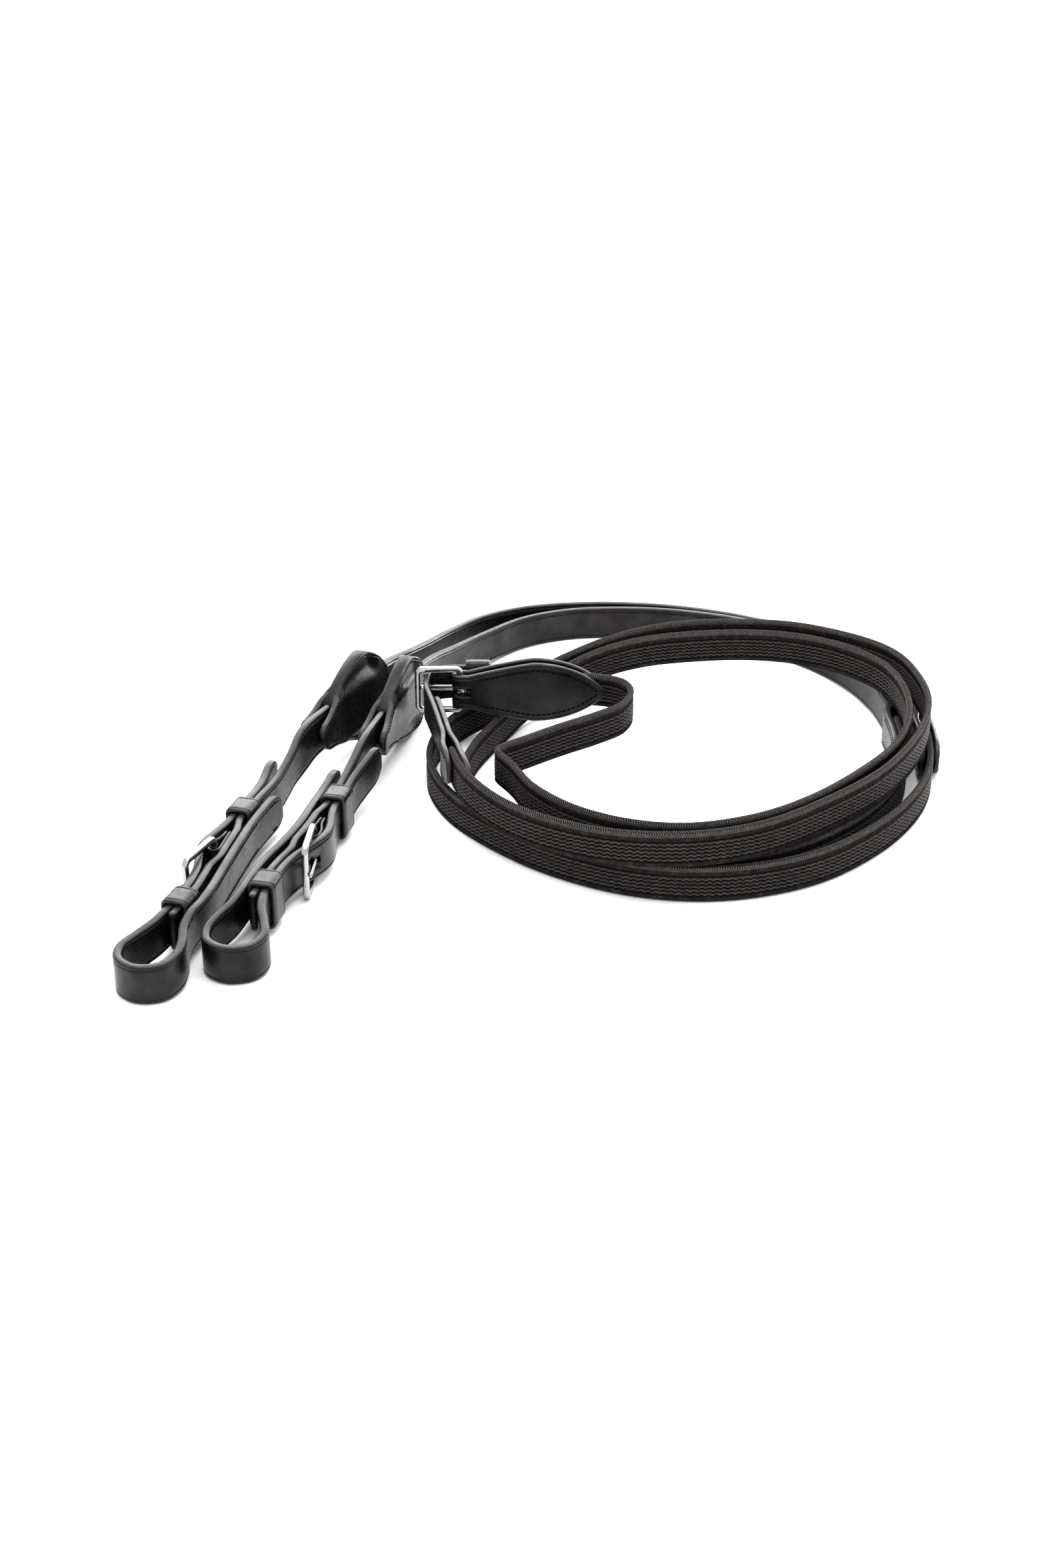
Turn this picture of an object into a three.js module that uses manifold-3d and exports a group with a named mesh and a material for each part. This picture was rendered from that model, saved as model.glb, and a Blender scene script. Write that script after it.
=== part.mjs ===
// A pair of leather reins, coiled and standing on edge on a flat surface.
// Millimetres, +Z up. The origin is on the surface, under the middle of the coil's outline.
// Each rein is one long route from its bit end to its hand end. Every strap piece is placed by
// its distance along that route, and by its offset to the left of the direction of travel.
import * as THREE from 'three';
import Module from 'manifold-3d';

const wasm = await Module();
wasm.setup();

// ---- driving dimensions ----
const STRAP_W = 16;
const STRAP_T = 3.2;
const WEB_W = 15.6;
const WEB_T = 2.8;
const BILLET_T = 3.4;
const LAYER_T = 2.4;
const GAP = 0.35;
const BIT_Z = 12.2;
const FLOOR_Z = 8.25;
const LOW_WEB_Z = 8;
const HIGH_WEB_Z = 24.2;
const HAND_Z = 28;

const KEEPER_WALL = 1.6;
const KEEPER_LEN = 12;
const LOWER_KEEPER_S = 11.5;
const UPPER_KEEPER_S = 87;

const WIRE = 2.4;
const FRAME_HALF_H = 12;
const HAND_FRAME_HALF_H = 11;
const BIT_HINGE_S = 55;
const BIT_HINGE_OFF = 2.9;
const BIT_BAR_S = 34;
const BIT_BAR_OFF = 7.8;
const PRONG_T = 1.2;
const PRONG_H = 2.6;

const SEWN_GAP = 2.3;
const BUCKLE_BOW = 1.8;
const LEFT_TIPS = { billet: 132, sewn: 107 };
const RIGHT_TIPS = { billet: 127, sewn: 110 };
const LOOP_R = 11;

const STOP_LEN = 70;
const STOP_HALF_H = 19.4;
const STOP_T = 2.8;
const STOP_LEAN = 0.2;

const SPLICE_LEN = 46;
const HAND_HINGE = [-45.4, 43];
const HAND_BAR = [-64.6, 43];
const TAB_H = 28;
const TAB_WIDEST = -13;
const TAB_TIP = 19;

// ---- routes: [x, y, height of the strap's mid line] ----
const LEFT_LEATHER = [
  [-149, -141, BIT_Z], [-143.2, -122.5, BIT_Z], [-138.8, -98, BIT_Z], [-135.5, -80, BIT_Z],
  [-132, -63, BIT_Z], [-127, -46, BIT_Z], [-121, -28, 12.5], [-115.8, -10, 16.5],
  [-110.5, 6, 20.2], [-103, 23.5, 20.4], [-95.5, 41, 20.4], [-88, 58.5, 20.2],
  [-80.5, 76, 18.9], [-73, 94, 16.3], [-64, 114, 12.8], [-53, 136, 10],
  [-38, 156, 8.5], [-19, 168, FLOOR_Z], [3, 173.5, FLOOR_Z], [31, 174.5, FLOOR_Z],
  [61, 169.5, FLOOR_Z], [90, 158, FLOOR_Z], [117, 140, FLOOR_Z], [138, 115, FLOOR_Z],
  [152, 87, FLOOR_Z], [159, 60, FLOOR_Z], [161, 40, FLOOR_Z],
];
const LEFT_WEB = [
  [160.5, 18, LOW_WEB_Z], [156, -8, LOW_WEB_Z], [145.5, -33, LOW_WEB_Z], [128, -58, LOW_WEB_Z],
  [103, -81, LOW_WEB_Z], [76, -93.5, LOW_WEB_Z], [48, -97, LOW_WEB_Z], [20, -91, LOW_WEB_Z],
  [-7, -76, LOW_WEB_Z], [-30, -55, LOW_WEB_Z], [-48, -31, LOW_WEB_Z], [-57.5, -4, LOW_WEB_Z],
  [-57, 21, LOW_WEB_Z], [-49, 43, LOW_WEB_Z], [-35, 60, 9], [-18, 75, 12.5],
  [2, 89, 17.5], [25, 101, 22], [50, 110, HIGH_WEB_Z], [78, 114.5, HIGH_WEB_Z],
  [109, 111.5, HIGH_WEB_Z], [136, 97, HIGH_WEB_Z], [152.5, 79, HIGH_WEB_Z],
  [159.5, 54.5, HIGH_WEB_Z], [160, 25, HIGH_WEB_Z], [150.5, -7, HIGH_WEB_Z],
  [131, -41, HIGH_WEB_Z], [105, -68, HIGH_WEB_Z], [77, -89, HIGH_WEB_Z],
  [48, -98, HIGH_WEB_Z], [18, -96.5, HIGH_WEB_Z], [-7, -86, HIGH_WEB_Z],
  [-26, -70, HIGH_WEB_Z], [-40, -48, HIGH_WEB_Z], [-47, -26, HIGH_WEB_Z],
];
const LEFT_HAND = [
  [-51, -5, 24.6], [-54.5, 13, 25.4], [-57.8, 27, 26.6], [-60, 36, 27.3],
  [-60.2, 43, HAND_Z], [-57.5, 48.8, HAND_Z], [-51, 51.4, HAND_Z], [-43, 51.8, HAND_Z],
  [-31, 51.8, HAND_Z], [-17, 51.8, HAND_Z], [-3, 51.8, HAND_Z],
];
const RIGHT_LEATHER = [
  [-120.5, -127, BIT_Z], [-117.5, -113, BIT_Z], [-113.5, -99.5, BIT_Z], [-107.5, -84.5, BIT_Z],
  [-102.2, -68, BIT_Z], [-98, -50, BIT_Z], [-94, -34, 12.6], [-89.8, -19, 16],
  [-85.5, -4, 20.2], [-80.7, 14.6, 20.4], [-75.9, 33.2, 20.4], [-71.1, 51.8, 20.2],
  [-66.3, 70.4, 18.8], [-60, 90.5, 15.8], [-50.5, 110, 12.3], [-37, 131.5, 9.8],
  [-19, 153, 8.5], [1, 164, FLOOR_Z], [22, 167.5, FLOOR_Z], [49, 166.5, FLOOR_Z],
  [75, 160, FLOOR_Z], [98, 149, FLOOR_Z], [119, 131.5, FLOOR_Z], [135.5, 108, FLOOR_Z],
  [145, 82, FLOOR_Z], [148.5, 58, FLOOR_Z], [149.3, 42, FLOOR_Z],
];
const RIGHT_WEB = [
  [149.3, 22, LOW_WEB_Z], [146, -4, LOW_WEB_Z], [136.5, -29, LOW_WEB_Z], [120.5, -52.5, LOW_WEB_Z],
  [98.5, -73, LOW_WEB_Z], [74, -85.8, LOW_WEB_Z], [48, -90, LOW_WEB_Z], [22, -85, LOW_WEB_Z],
  [-2, -72.5, LOW_WEB_Z], [-22.5, -53, LOW_WEB_Z], [-37.5, -31, LOW_WEB_Z], [-43.5, -9, LOW_WEB_Z],
  [-39.5, 14, LOW_WEB_Z], [-32.5, 33, LOW_WEB_Z], [-25, 50, LOW_WEB_Z], [-15, 66.5, 10.5],
  [0, 79, 15.5], [17, 87.5, 20.5], [38, 94, 23.8], [62, 99.5, HIGH_WEB_Z],
  [88, 101.5, HIGH_WEB_Z], [112, 96.5, HIGH_WEB_Z], [132, 84, HIGH_WEB_Z],
  [146.5, 64, HIGH_WEB_Z], [151.5, 38, HIGH_WEB_Z], [149, 9, HIGH_WEB_Z],
  [138.5, -19, HIGH_WEB_Z], [119, -45.5, HIGH_WEB_Z], [97, -68, HIGH_WEB_Z],
  [74, -83.5, HIGH_WEB_Z], [48, -91.2, HIGH_WEB_Z], [24, -88, HIGH_WEB_Z],
  [2.5, -76, HIGH_WEB_Z], [-13.5, -57.5, HIGH_WEB_Z], [-22, -38, HIGH_WEB_Z],
];
const RIGHT_HAND = [
  [-27.5, -27.5, HIGH_WEB_Z], [-28.3, -23.5, HIGH_WEB_Z], [-25.5, -19.8, HIGH_WEB_Z],
  [-18, -14, HIGH_WEB_Z], [-2, -1, HIGH_WEB_Z], [15, 11.5, HIGH_WEB_Z], [25.5, 21.5, HIGH_WEB_Z],
  [29.8, 33, 24.8], [27.5, 40, 26], [21, 42.9, 27], [12, 43, HAND_Z], [4, 43, HAND_Z],
];

// ---- helpers ----
const UP = new THREE.Vector3(0, 0, 1);

function smooth(x, a, b) {
  const t = Math.min(Math.max((x - a) / (b - a), 0), 1);
  return t * t * (3 - 2 * t);
}

// A smooth line through the listed points, read by distance along it.
class Route {
  constructor(points) {
    this.curve = new THREE.CatmullRomCurve3(points.map((p) => new THREE.Vector3(...p)), false, 'catmullrom', 0.5);
    this.per = 60;
    this.dense = this.curve.getPoints((points.length - 1) * this.per);
    this.len = [0];
    for (let i = 1; i < this.dense.length; i++) {
      this.len.push(this.len[i - 1] + this.dense[i].distanceTo(this.dense[i - 1]));
    }
    this.length = this.len[this.len.length - 1];
  }
  // distance along the route of listed point i
  station(i) {
    return this.len[i * this.per];
  }
  point(s) {
    const c = Math.min(Math.max(s, 0), this.length);
    let lo = 0;
    let hi = this.len.length - 1;
    while (hi - lo > 1) {
      const mid = (lo + hi) >> 1;
      if (this.len[mid] <= c) lo = mid;
      else hi = mid;
    }
    const f = (c - this.len[lo]) / (this.len[hi] - this.len[lo]);
    const p = this.dense[lo].clone().lerp(this.dense[hi], f);
    if (s === c) return p;
    return p.addScaledVector(this.flat(c), s - c);
  }
  // level direction of travel
  flat(s) {
    const c = Math.min(Math.max(s, 0.4), this.length - 0.4);
    const d = this.point(c + 0.3).sub(this.point(c - 0.3));
    return d.setZ(0).normalize();
  }
  side(s) {
    return UP.clone().cross(this.flat(s));
  }
  at(s, off = 0, up = 0) {
    return this.point(s).addScaledVector(this.side(s), off).addScaledVector(UP, up);
  }
}

function turning(route, a, b) {
  const mid = route.flat((a + b) / 2);
  return route.flat(a).angleTo(mid) + mid.angleTo(route.flat(b));
}

// distances along a route, closer together where it bends
function stations(route, s0, s1, coarse = 8) {
  const list = [s0];
  let s = s0;
  while (s < s1 - 1e-6) {
    let step = coarse;
    while (step > 0.7 && turning(route, s, Math.min(s + step, s1)) > 0.16) step *= 0.8;
    s = s + step > s1 - step * 0.4 ? s1 : s + step;
    list.push(s);
  }
  return list;
}

// A strap standing on edge along a route, from s0 to s1. Width, offset and lift may vary with s.
function strap(route, s0, s1, { width, thick, offset = () => 0, lift = () => 0, rows = 1, coarse = 8 }) {
  const list = stations(route, s0, s1, coarse);
  const n = list.length - 1;
  const g = new THREE.BoxGeometry(1, 1, 1, n, 1, rows);
  const pos = g.attributes.position;
  for (let i = 0; i < pos.count; i++) {
    const s = list[Math.round((pos.getX(i) + 0.5) * n)];
    const h = pos.getZ(i) * width(s);
    const p = route.at(s, offset(s, h) + pos.getY(i) * thick, h + lift(s));
    pos.setXYZ(i, p.x, p.y, p.z);
  }
  return g;
}

// A thread lying on a face: points are [s, height], at a given offset.
function thread(route, points, offset, steps) {
  const line = points.map(([s, h]) => route.at(s, offset(s, h), h));
  const path = new THREE.CatmullRomCurve3(line, false, 'catmullrom', 0.5);
  const r = 0.3;
  const shape = new THREE.Shape();
  shape.moveTo(-r, -r);
  shape.lineTo(r, -r);
  shape.lineTo(r, r);
  shape.lineTo(-r, r);
  shape.closePath();
  return new THREE.ExtrudeGeometry(shape, { steps, extrudePath: path });
}

function rounded(path, w, h, r) {
  path.moveTo(-w / 2 + r, -h / 2);
  path.lineTo(w / 2 - r, -h / 2);
  path.absarc(w / 2 - r, -h / 2 + r, r, -Math.PI / 2, 0, false);
  path.lineTo(w / 2, h / 2 - r);
  path.absarc(w / 2 - r, h / 2 - r, r, 0, Math.PI / 2, false);
  path.lineTo(-w / 2 + r, h / 2);
  path.absarc(-w / 2 + r, h / 2 - r, r, Math.PI / 2, Math.PI, false);
  path.lineTo(-w / 2, -h / 2 + r);
  path.absarc(-w / 2 + r, -h / 2 + r, r, Math.PI, Math.PI * 1.5, false);
  return path;
}

// ring seen along its own z, w by h outside, with walls of the given size
function ring(w, h, wall, depth, r, bevel) {
  const shape = rounded(new THREE.Shape(), w - 2 * bevel, h - 2 * bevel, r);
  const inner = rounded(new THREE.Path(), w - 2 * wall + 2 * bevel, h - 2 * wall + 2 * bevel, Math.max(r - wall, 0.6));
  shape.holes.push(inner);
  const g = new THREE.ExtrudeGeometry(shape, {
    depth: depth - 2 * bevel,
    curveSegments: 3,
    bevelEnabled: bevel > 0,
    bevelThickness: bevel,
    bevelSize: bevel,
    bevelSegments: 1,
  });
  g.translate(0, 0, -depth / 2 + bevel);
  return g;
}

function place(g, x, y, z, at) {
  g.applyMatrix4(new THREE.Matrix4().makeBasis(x, y, z).setPosition(at));
  return g;
}

// ---- cutting ----
function solid(g) {
  const src = g.index ? g.toNonIndexed() : g;
  const pos = src.attributes.position;
  const verts = [];
  const tris = [];
  const seen = new Map();
  for (let i = 0; i < pos.count; i++) {
    const key = [pos.getX(i), pos.getY(i), pos.getZ(i)].map((v) => v.toFixed(3)).join(' ');
    if (!seen.has(key)) {
      seen.set(key, verts.length / 3);
      verts.push(pos.getX(i), pos.getY(i), pos.getZ(i));
    }
    tris.push(seen.get(key));
  }
  const kept = [];
  for (let i = 0; i < tris.length; i += 3) {
    const [a, b, c] = [tris[i], tris[i + 1], tris[i + 2]];
    if (a !== b && b !== c && a !== c) kept.push(a, b, c);
  }
  const mesh = new wasm.Mesh({
    numProp: 3,
    vertProperties: new Float32Array(verts),
    triVerts: new Uint32Array(kept),
  });
  return new wasm.Manifold(mesh);
}

function cut(g, ...tools) {
  let m = solid(g);
  for (const t of tools) m = m.subtract(solid(t));
  const out = m.getMesh();
  const made = new THREE.BufferGeometry();
  made.setAttribute('position', new THREE.BufferAttribute(new Float32Array(out.vertProperties), 3));
  made.setIndex(Array.from(out.triVerts));
  return made;
}

// a box whose length runs from a to b, level
function bar(a, b, thick, height) {
  const along = b.clone().sub(a);
  const len = along.length();
  along.normalize();
  const side = UP.clone().cross(along);
  return place(new THREE.BoxGeometry(len, thick, height), along, side, UP.clone(), a.clone().add(b).multiplyScalar(0.5));
}

// ---- materials ----
const LEATHER = new THREE.MeshStandardMaterial({ name: 'leather', color: 0x1b1a1a, roughness: 0.45 });
const WEBBING = new THREE.MeshStandardMaterial({ name: 'webbing', color: 0x2c2928, roughness: 0.9 });
const METAL = new THREE.MeshStandardMaterial({ name: 'metal', color: 0xc9c9cc, metalness: 1, roughness: 0.2 });
const THREAD = new THREE.MeshStandardMaterial({ name: 'thread', color: 0x141313, roughness: 0.8 });

const group = new THREE.Group();
group.name = 'leather_reins';

function add(name, geometry, material) {
  const mesh = new THREE.Mesh(geometry, material);
  mesh.name = name;
  group.add(mesh);
}

// ---- shapes shared by both reins ----
// height of a strap end that comes to a point at s = tip, over the given length
function pointed(s, tip, length, full) {
  const t = Math.min(Math.abs(tip - s) / length, 1);
  return 3.5 + (full - 3.5) * Math.sqrt(1 - (1 - t) * (1 - t));
}

// outline height of a stop, u = 0 at its near end and 1 at its rounded far end
function stopHeight(u) {
  const leaf = 11 + (2 * STOP_HALF_H - 11) * smooth(u, 0, 0.8);
  const end = Math.sqrt(Math.max(1 - Math.pow(Math.max(u - 0.74, 0) / 0.26, 2), 0));
  return leaf * (0.3 + 0.7 * end);
}

// the bit end of one rein; turn is +1 when its billet lies left of the direction of travel, and
// tips holds how far along the strap its free and its sewn end reach
function bitEnd(name, route, turn, tips) {
  const points = [];
  for (let k = 0; k <= 12; k++) {
    const s = tips.sewn - (k * (tips.sewn - 5)) / 12;
    points.push(route.at(s, -turn * (STRAP_T / 2 + SEWN_GAP + BILLET_T / 2)));
  }
  const loop = [
    [-4, -6.9, -1.1], [-12, -9.9, -2.5], [-20, -LOOP_R, -3.4], [-27.5, -8.2, -3.9], [-31, 0, -4],
    [-27.5, 8.2, -3.9], [-20, LOOP_R, -3.4], [-12, 8.6, -2.5], [-5, 5.4, -1.1], [1, 4, -0.2],
    [7, 3.65, 0], [16, 3.65, 0], [25, 3.65, 0], [32, 3.8, 0], [38, 4.4, 0], [46, 6.2, 0],
    [52, 7.6, 0], [58, 7.8, 0], [64, 6.6, 0], [71, 4.8, 0], [78, 3.75, 0],
  ];
  for (const [s, off, up] of loop) points.push(route.at(s, turn * off, up));
  for (let k = 0; k <= 5; k++) {
    const s = UPPER_KEEPER_S + (k * (tips.billet - UPPER_KEEPER_S)) / 5;
    const splay = 3.4 * smooth(s, UPPER_KEEPER_S + 12, tips.billet);
    points.push(route.at(s, turn * (STRAP_T / 2 + GAP + BILLET_T / 2 + splay)));
  }
  const round = new Route(points.map((p) => [p.x, p.y, p.z]));
  const ends = (s) => Math.min(pointed(s, 0, 9, STRAP_W), pointed(s, round.length, 9, STRAP_W));
  const billet = strap(round, 0, round.length, { width: ends, thick: BILLET_T, coarse: 7 });

  // the buckle stands in its own level frame, at the hinge bar
  const hinge = route.at(BIT_HINGE_S, turn * BIT_HINGE_OFF);
  const along = route.flat(BIT_HINGE_S);
  const side = route.side(BIT_HINGE_S).multiplyScalar(turn);
  const local = (u, v) => hinge.clone().addScaledVector(along, u).addScaledVector(side, v);
  const outer = local(BIT_BAR_S - BIT_HINGE_S, BIT_BAR_OFF - BIT_HINGE_OFF);
  const reach = outer.clone().sub(hinge);
  const span = reach.length();
  reach.normalize();
  const frame = ring(span + WIRE, 2 * FRAME_HALF_H, WIRE, WIRE, 3, 0.5);
  const mid = hinge.clone().add(outer).multiplyScalar(0.5);
  place(frame, reach, UP.clone(), reach.clone().cross(UP), mid);

  // prong: an eye round the hinge bar, then a bar resting on the outside of the outer bar
  const tilt = Math.atan2(reach.dot(side), reach.dot(along));
  const eye = 2.15;
  const hook = [];
  const leave = tilt - Math.PI / 2 - 0.06;
  for (let k = 0; k <= 9; k++) {
    const a = leave - Math.PI * 1.5 + (k * Math.PI * 1.5) / 9;
    hook.push(local(Math.cos(a) * eye, Math.sin(a) * eye));
  }
  const rest = WIRE / 2 + 0.3 + PRONG_T / 2;
  const normal = [-Math.sin(tilt), Math.cos(tilt)];
  const sign = normal[1] > 0 ? 1 : -1;
  const onBar = (d) => {
    const u = Math.cos(tilt) * (span + d) + sign * normal[0] * rest;
    const v = Math.sin(tilt) * (span + d) + sign * normal[1] * rest;
    return local(u, v);
  };
  const start = hook[hook.length - 1];
  const tip = onBar(1.6);
  hook.push(start.clone().lerp(tip, 0.33), start.clone().lerp(tip, 0.66), tip);
  const prongRoute = new Route(hook.map((p) => [p.x, p.y, p.z]));
  const prong = strap(prongRoute, 0, prongRoute.length, { width: () => PRONG_H, thick: PRONG_T, coarse: 6 });

  // chape: the thin leather that folds round the hinge bar
  const wrap = 2.3;
  const fold = [[14, -wrap], [9, -wrap], [4, -wrap]];
  for (let k = 0; k <= 8; k++) {
    const a = -Math.PI / 2 - (k * Math.PI) / 8;
    fold.push([Math.cos(a) * wrap, Math.sin(a) * wrap]);
  }
  fold.push([4, 1.7], [9, -0.2], [14, -0.9]);
  const foldRoute = new Route(fold.map(([u, v]) => local(u, v)).map((p) => [p.x, p.y, p.z]));
  const chape = strap(foldRoute, 0, foldRoute.length, { width: () => STRAP_W - 2, thick: 0.9, coarse: 6 });
  const slot = bar(local(-4.5, 0), local(3.2, 0), 9, PRONG_H + 1.2);

  const holeA = start.clone().lerp(tip, -0.05);
  const holeB = start.clone().lerp(tip, 0.97);
  const hole = bar(holeA, holeB, PRONG_T + 2, PRONG_H + 0.9);

  add(`${name}_bit_billet`, cut(billet, hole), LEATHER);
  add(`${name}_bit_buckle_frame`, frame, METAL);
  add(`${name}_bit_buckle_prong`, prong, METAL);
  add(`${name}_bit_buckle_chape`, cut(chape, slot), LEATHER);

  // keepers: leather bands round the billet and the strap
  const stack = STRAP_T + GAP + BILLET_T;
  for (const [part, s] of [['lower', LOWER_KEEPER_S], ['upper', UPPER_KEEPER_S]]) {
    const w = stack + 2 * (KEEPER_WALL + 0.35);
    const h = STRAP_W + 2 * (KEEPER_WALL + 0.4);
    const band = ring(w, h, KEEPER_WALL, KEEPER_LEN, 2.4, 0);
    place(band, route.side(s), UP.clone(), route.flat(s), route.at(s, (turn * (GAP + BILLET_T)) / 2));
    add(`${name}_keeper_${part}`, band, LEATHER);
  }
  const seamOff = () => -turn * (STRAP_T / 2 + SEWN_GAP + BILLET_T + GAP + 0.3);
  const seam = [[28, 5.5], [50, 5.5], [70, 5.5], [82, 5.5]];
  add(`${name}_billet_thread`, thread(route, seam, seamOff, 14), THREAD);
}

// how far the top of a stop and of the strap in it lean to the left of the direction of travel
function leaning(s, s0, lean) {
  return lean * smooth(s, s0 - 24, s0 - 6) * (1 - smooth(s, s0 + STOP_LEN + 9, s0 + STOP_LEN + 30));
}

// the two cupped leather layers of a stop, closed on each other above and below the strap
function stopPieces(name, route, s0, lean) {
  const cup = (sign, grow = 0) => (s, h) => {
    const u = (s - s0) / STOP_LEN;
    const open = STRAP_T / 2 + GAP + 0.2 + STOP_T / 2;
    const shut = STOP_T / 2 + 0.2;
    const splay = (sign > 0 ? 0.3 : 2.4) * (1 - smooth(u, 0, 0.35));
    const rim = smooth(Math.abs(h), STRAP_W / 2 + 0.6, STRAP_W / 2 + 4) * (1 - smooth(u, 0.78, 0.9));
    return sign * (open + (shut - open) * rim + splay + grow) + h * leaning(s, s0, lean);
  };
  const width = (s) => stopHeight((s - s0) / STOP_LEN);
  for (const [part, sign] of [['outer', 1], ['inner', -1]]) {
    const g = strap(route, s0, s0 + STOP_LEN, { width, thick: STOP_T, offset: cup(sign), rows: 10, coarse: 4 });
    add(`${name}_stop_${part}`, g, LEATHER);
  }
  const rim = [];
  for (let u = 0.14; u < 0.86; u += 0.06) rim.push([u, 1]);
  rim.push([0.9, 0.6], [0.93, 0], [0.9, -0.6]);
  for (let u = 0.86; u > 0.13; u -= 0.06) rim.push([u, -1]);
  const seam = rim.map(([u, k]) => [s0 + u * STOP_LEN, k * Math.max(stopHeight(u) / 2 - 2.6, 2)]);
  add(`${name}_stop_thread`, thread(route, seam, cup(-1, STOP_T / 2 + 0.95), 64), THREAD);
}

// where leather meets web: the strap steps to the inside, an overlay covers the outside
function splice(name, route, s0, turn, stop0, lean) {
  const off = WEB_T / 2 + GAP + STRAP_T / 2;
  const bow = (s) => BUCKLE_BOW * smooth(s, 38, 49) * (1 - smooth(s, 69, 80));
  const inward = (s, h) => -off * smooth(s, s0, s0 + 14) - turn * bow(s) + h * leaning(s, stop0, lean);
  const tipS = s0 + SPLICE_LEN;
  const strapWidth = (s) => (s > tipS - 10 ? pointed(s, tipS, 10, STRAP_W) : STRAP_W);
  add(`${name}_rein_strap`, strap(route, 0, tipS, { width: strapWidth, thick: STRAP_T, offset: inward }), LEATHER);
  const o0 = s0 - 6;
  const o1 = tipS - 3;
  const both = (s) => Math.min(pointed(s, o0, 9, STRAP_W), pointed(s, o1, 10, STRAP_W));
  const outward = () => WEB_T / 2 + GAP + LAYER_T / 2 + 0.2;
  add(`${name}_splice_overlay`, strap(route, o0, o1, { width: both, thick: LAYER_T, offset: outward }), LEATHER);
  const seam = [[o0 + 8, 5.2], [o0 + 20, 5.5], [o0 + 32, 5.5], [o1 - 7, 4.6]];
  const onTop = () => WEB_T / 2 + GAP + LAYER_T + 0.2 + GAP + 0.3;
  add(`${name}_splice_thread`, thread(route, seam, onTop, 12), THREAD);
  return s0 + 17;
}

// ---- left rein ----
const left = new Route([...LEFT_LEATHER, ...LEFT_WEB, ...LEFT_HAND]);
bitEnd('left', left, 1, LEFT_TIPS);
const leftStop = left.station(8) + 2;
stopPieces('left', left, leftStop, STOP_LEAN);
const leftWebStart = splice('left', left, left.station(26) - 12, 1, leftStop, STOP_LEAN);
const leftHand = left.station(LEFT_LEATHER.length + LEFT_WEB.length);
const leftWebEnd = leftHand - 18;
add('left_grip_web', strap(left, leftWebStart, leftWebEnd, { width: () => WEB_W, thick: WEB_T }), WEBBING);

// its hand end: a billet on the outside that carries on through the hand buckle, and a facing
const handTip = leftWebEnd - 10;
const apart = (s) => (LAYER_T + GAP) / 2 + (WEB_T / 2 + GAP / 2) * smooth(-s, -leftWebEnd - 16, -leftWebEnd - 2);
const handBillet = strap(left, handTip, left.length, {
  width: (s) => Math.min(pointed(s, handTip, 11, STRAP_W), pointed(s, left.length, 9, STRAP_W)),
  thick: LAYER_T,
  offset: (s) => apart(s) * (1 - smooth(s, leftHand + 36, leftHand + 47)),
});
const facingTip = leftWebEnd - 20;
const facing = strap(left, facingTip, leftHand + 33, {
  width: (s) => Math.min(pointed(s, facingTip, 11, STRAP_W), pointed(s, leftHand + 33, 8, STRAP_W)),
  thick: LAYER_T,
  offset: (s) => -apart(s),
});
add('left_hand_facing', facing, LEATHER);

// ---- right rein ----
const right = new Route([...RIGHT_LEATHER, ...RIGHT_WEB, ...RIGHT_HAND]);
bitEnd('right', right, -1, RIGHT_TIPS);
const rightStop = right.station(8) + 5;
stopPieces('right', right, rightStop, 0);
const rightWebStart = splice('right', right, right.station(26) - 16, -1, rightStop, 0);
add('right_grip_web', strap(right, rightWebStart, right.length, { width: () => WEB_W, thick: WEB_T }), WEBBING);

// ---- hand buckle ----
const hinge = new THREE.Vector3(HAND_HINGE[0], HAND_HINGE[1], HAND_Z);
const far = new THREE.Vector3(HAND_BAR[0], HAND_BAR[1], HAND_Z);
const frameSpan = hinge.distanceTo(far);
const handFrame = ring(frameSpan + WIRE, 2 * HAND_FRAME_HALF_H, WIRE, WIRE, 3, 0.5);
const middle = hinge.clone().add(far).multiplyScalar(0.5);
place(handFrame, new THREE.Vector3(-1, 0, 0), UP.clone(), new THREE.Vector3(0, 1, 0), middle);
add('hand_buckle_frame', handFrame, METAL);

const handHook = [];
for (let k = 0; k <= 9; k++) {
  const a = Math.PI * (-0.98 + (k * 1.5) / 9);
  handHook.push([hinge.x + Math.cos(a) * 2.15, hinge.y + Math.sin(a) * 2.15, HAND_Z]);
}
const handStart = new THREE.Vector3(...handHook[handHook.length - 1]);
const handProngTip = new THREE.Vector3(far.x - 1.6, 45.2, HAND_Z);
for (const t of [0.33, 0.66, 1]) handHook.push(handStart.clone().lerp(handProngTip, t).toArray());
const handProngRoute = new Route(handHook);
const handProng = strap(handProngRoute, 0, handProngRoute.length, { width: () => PRONG_H, thick: PRONG_T, coarse: 6 });
add('hand_buckle_prong', handProng, METAL);
const billetHole = bar(new THREE.Vector3(-66, 45.2, HAND_Z), new THREE.Vector3(-50, 45.2, HAND_Z), PRONG_T + 2, PRONG_H + 0.9);
add('left_hand_billet', cut(handBillet, billetHole), LEATHER);

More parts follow.
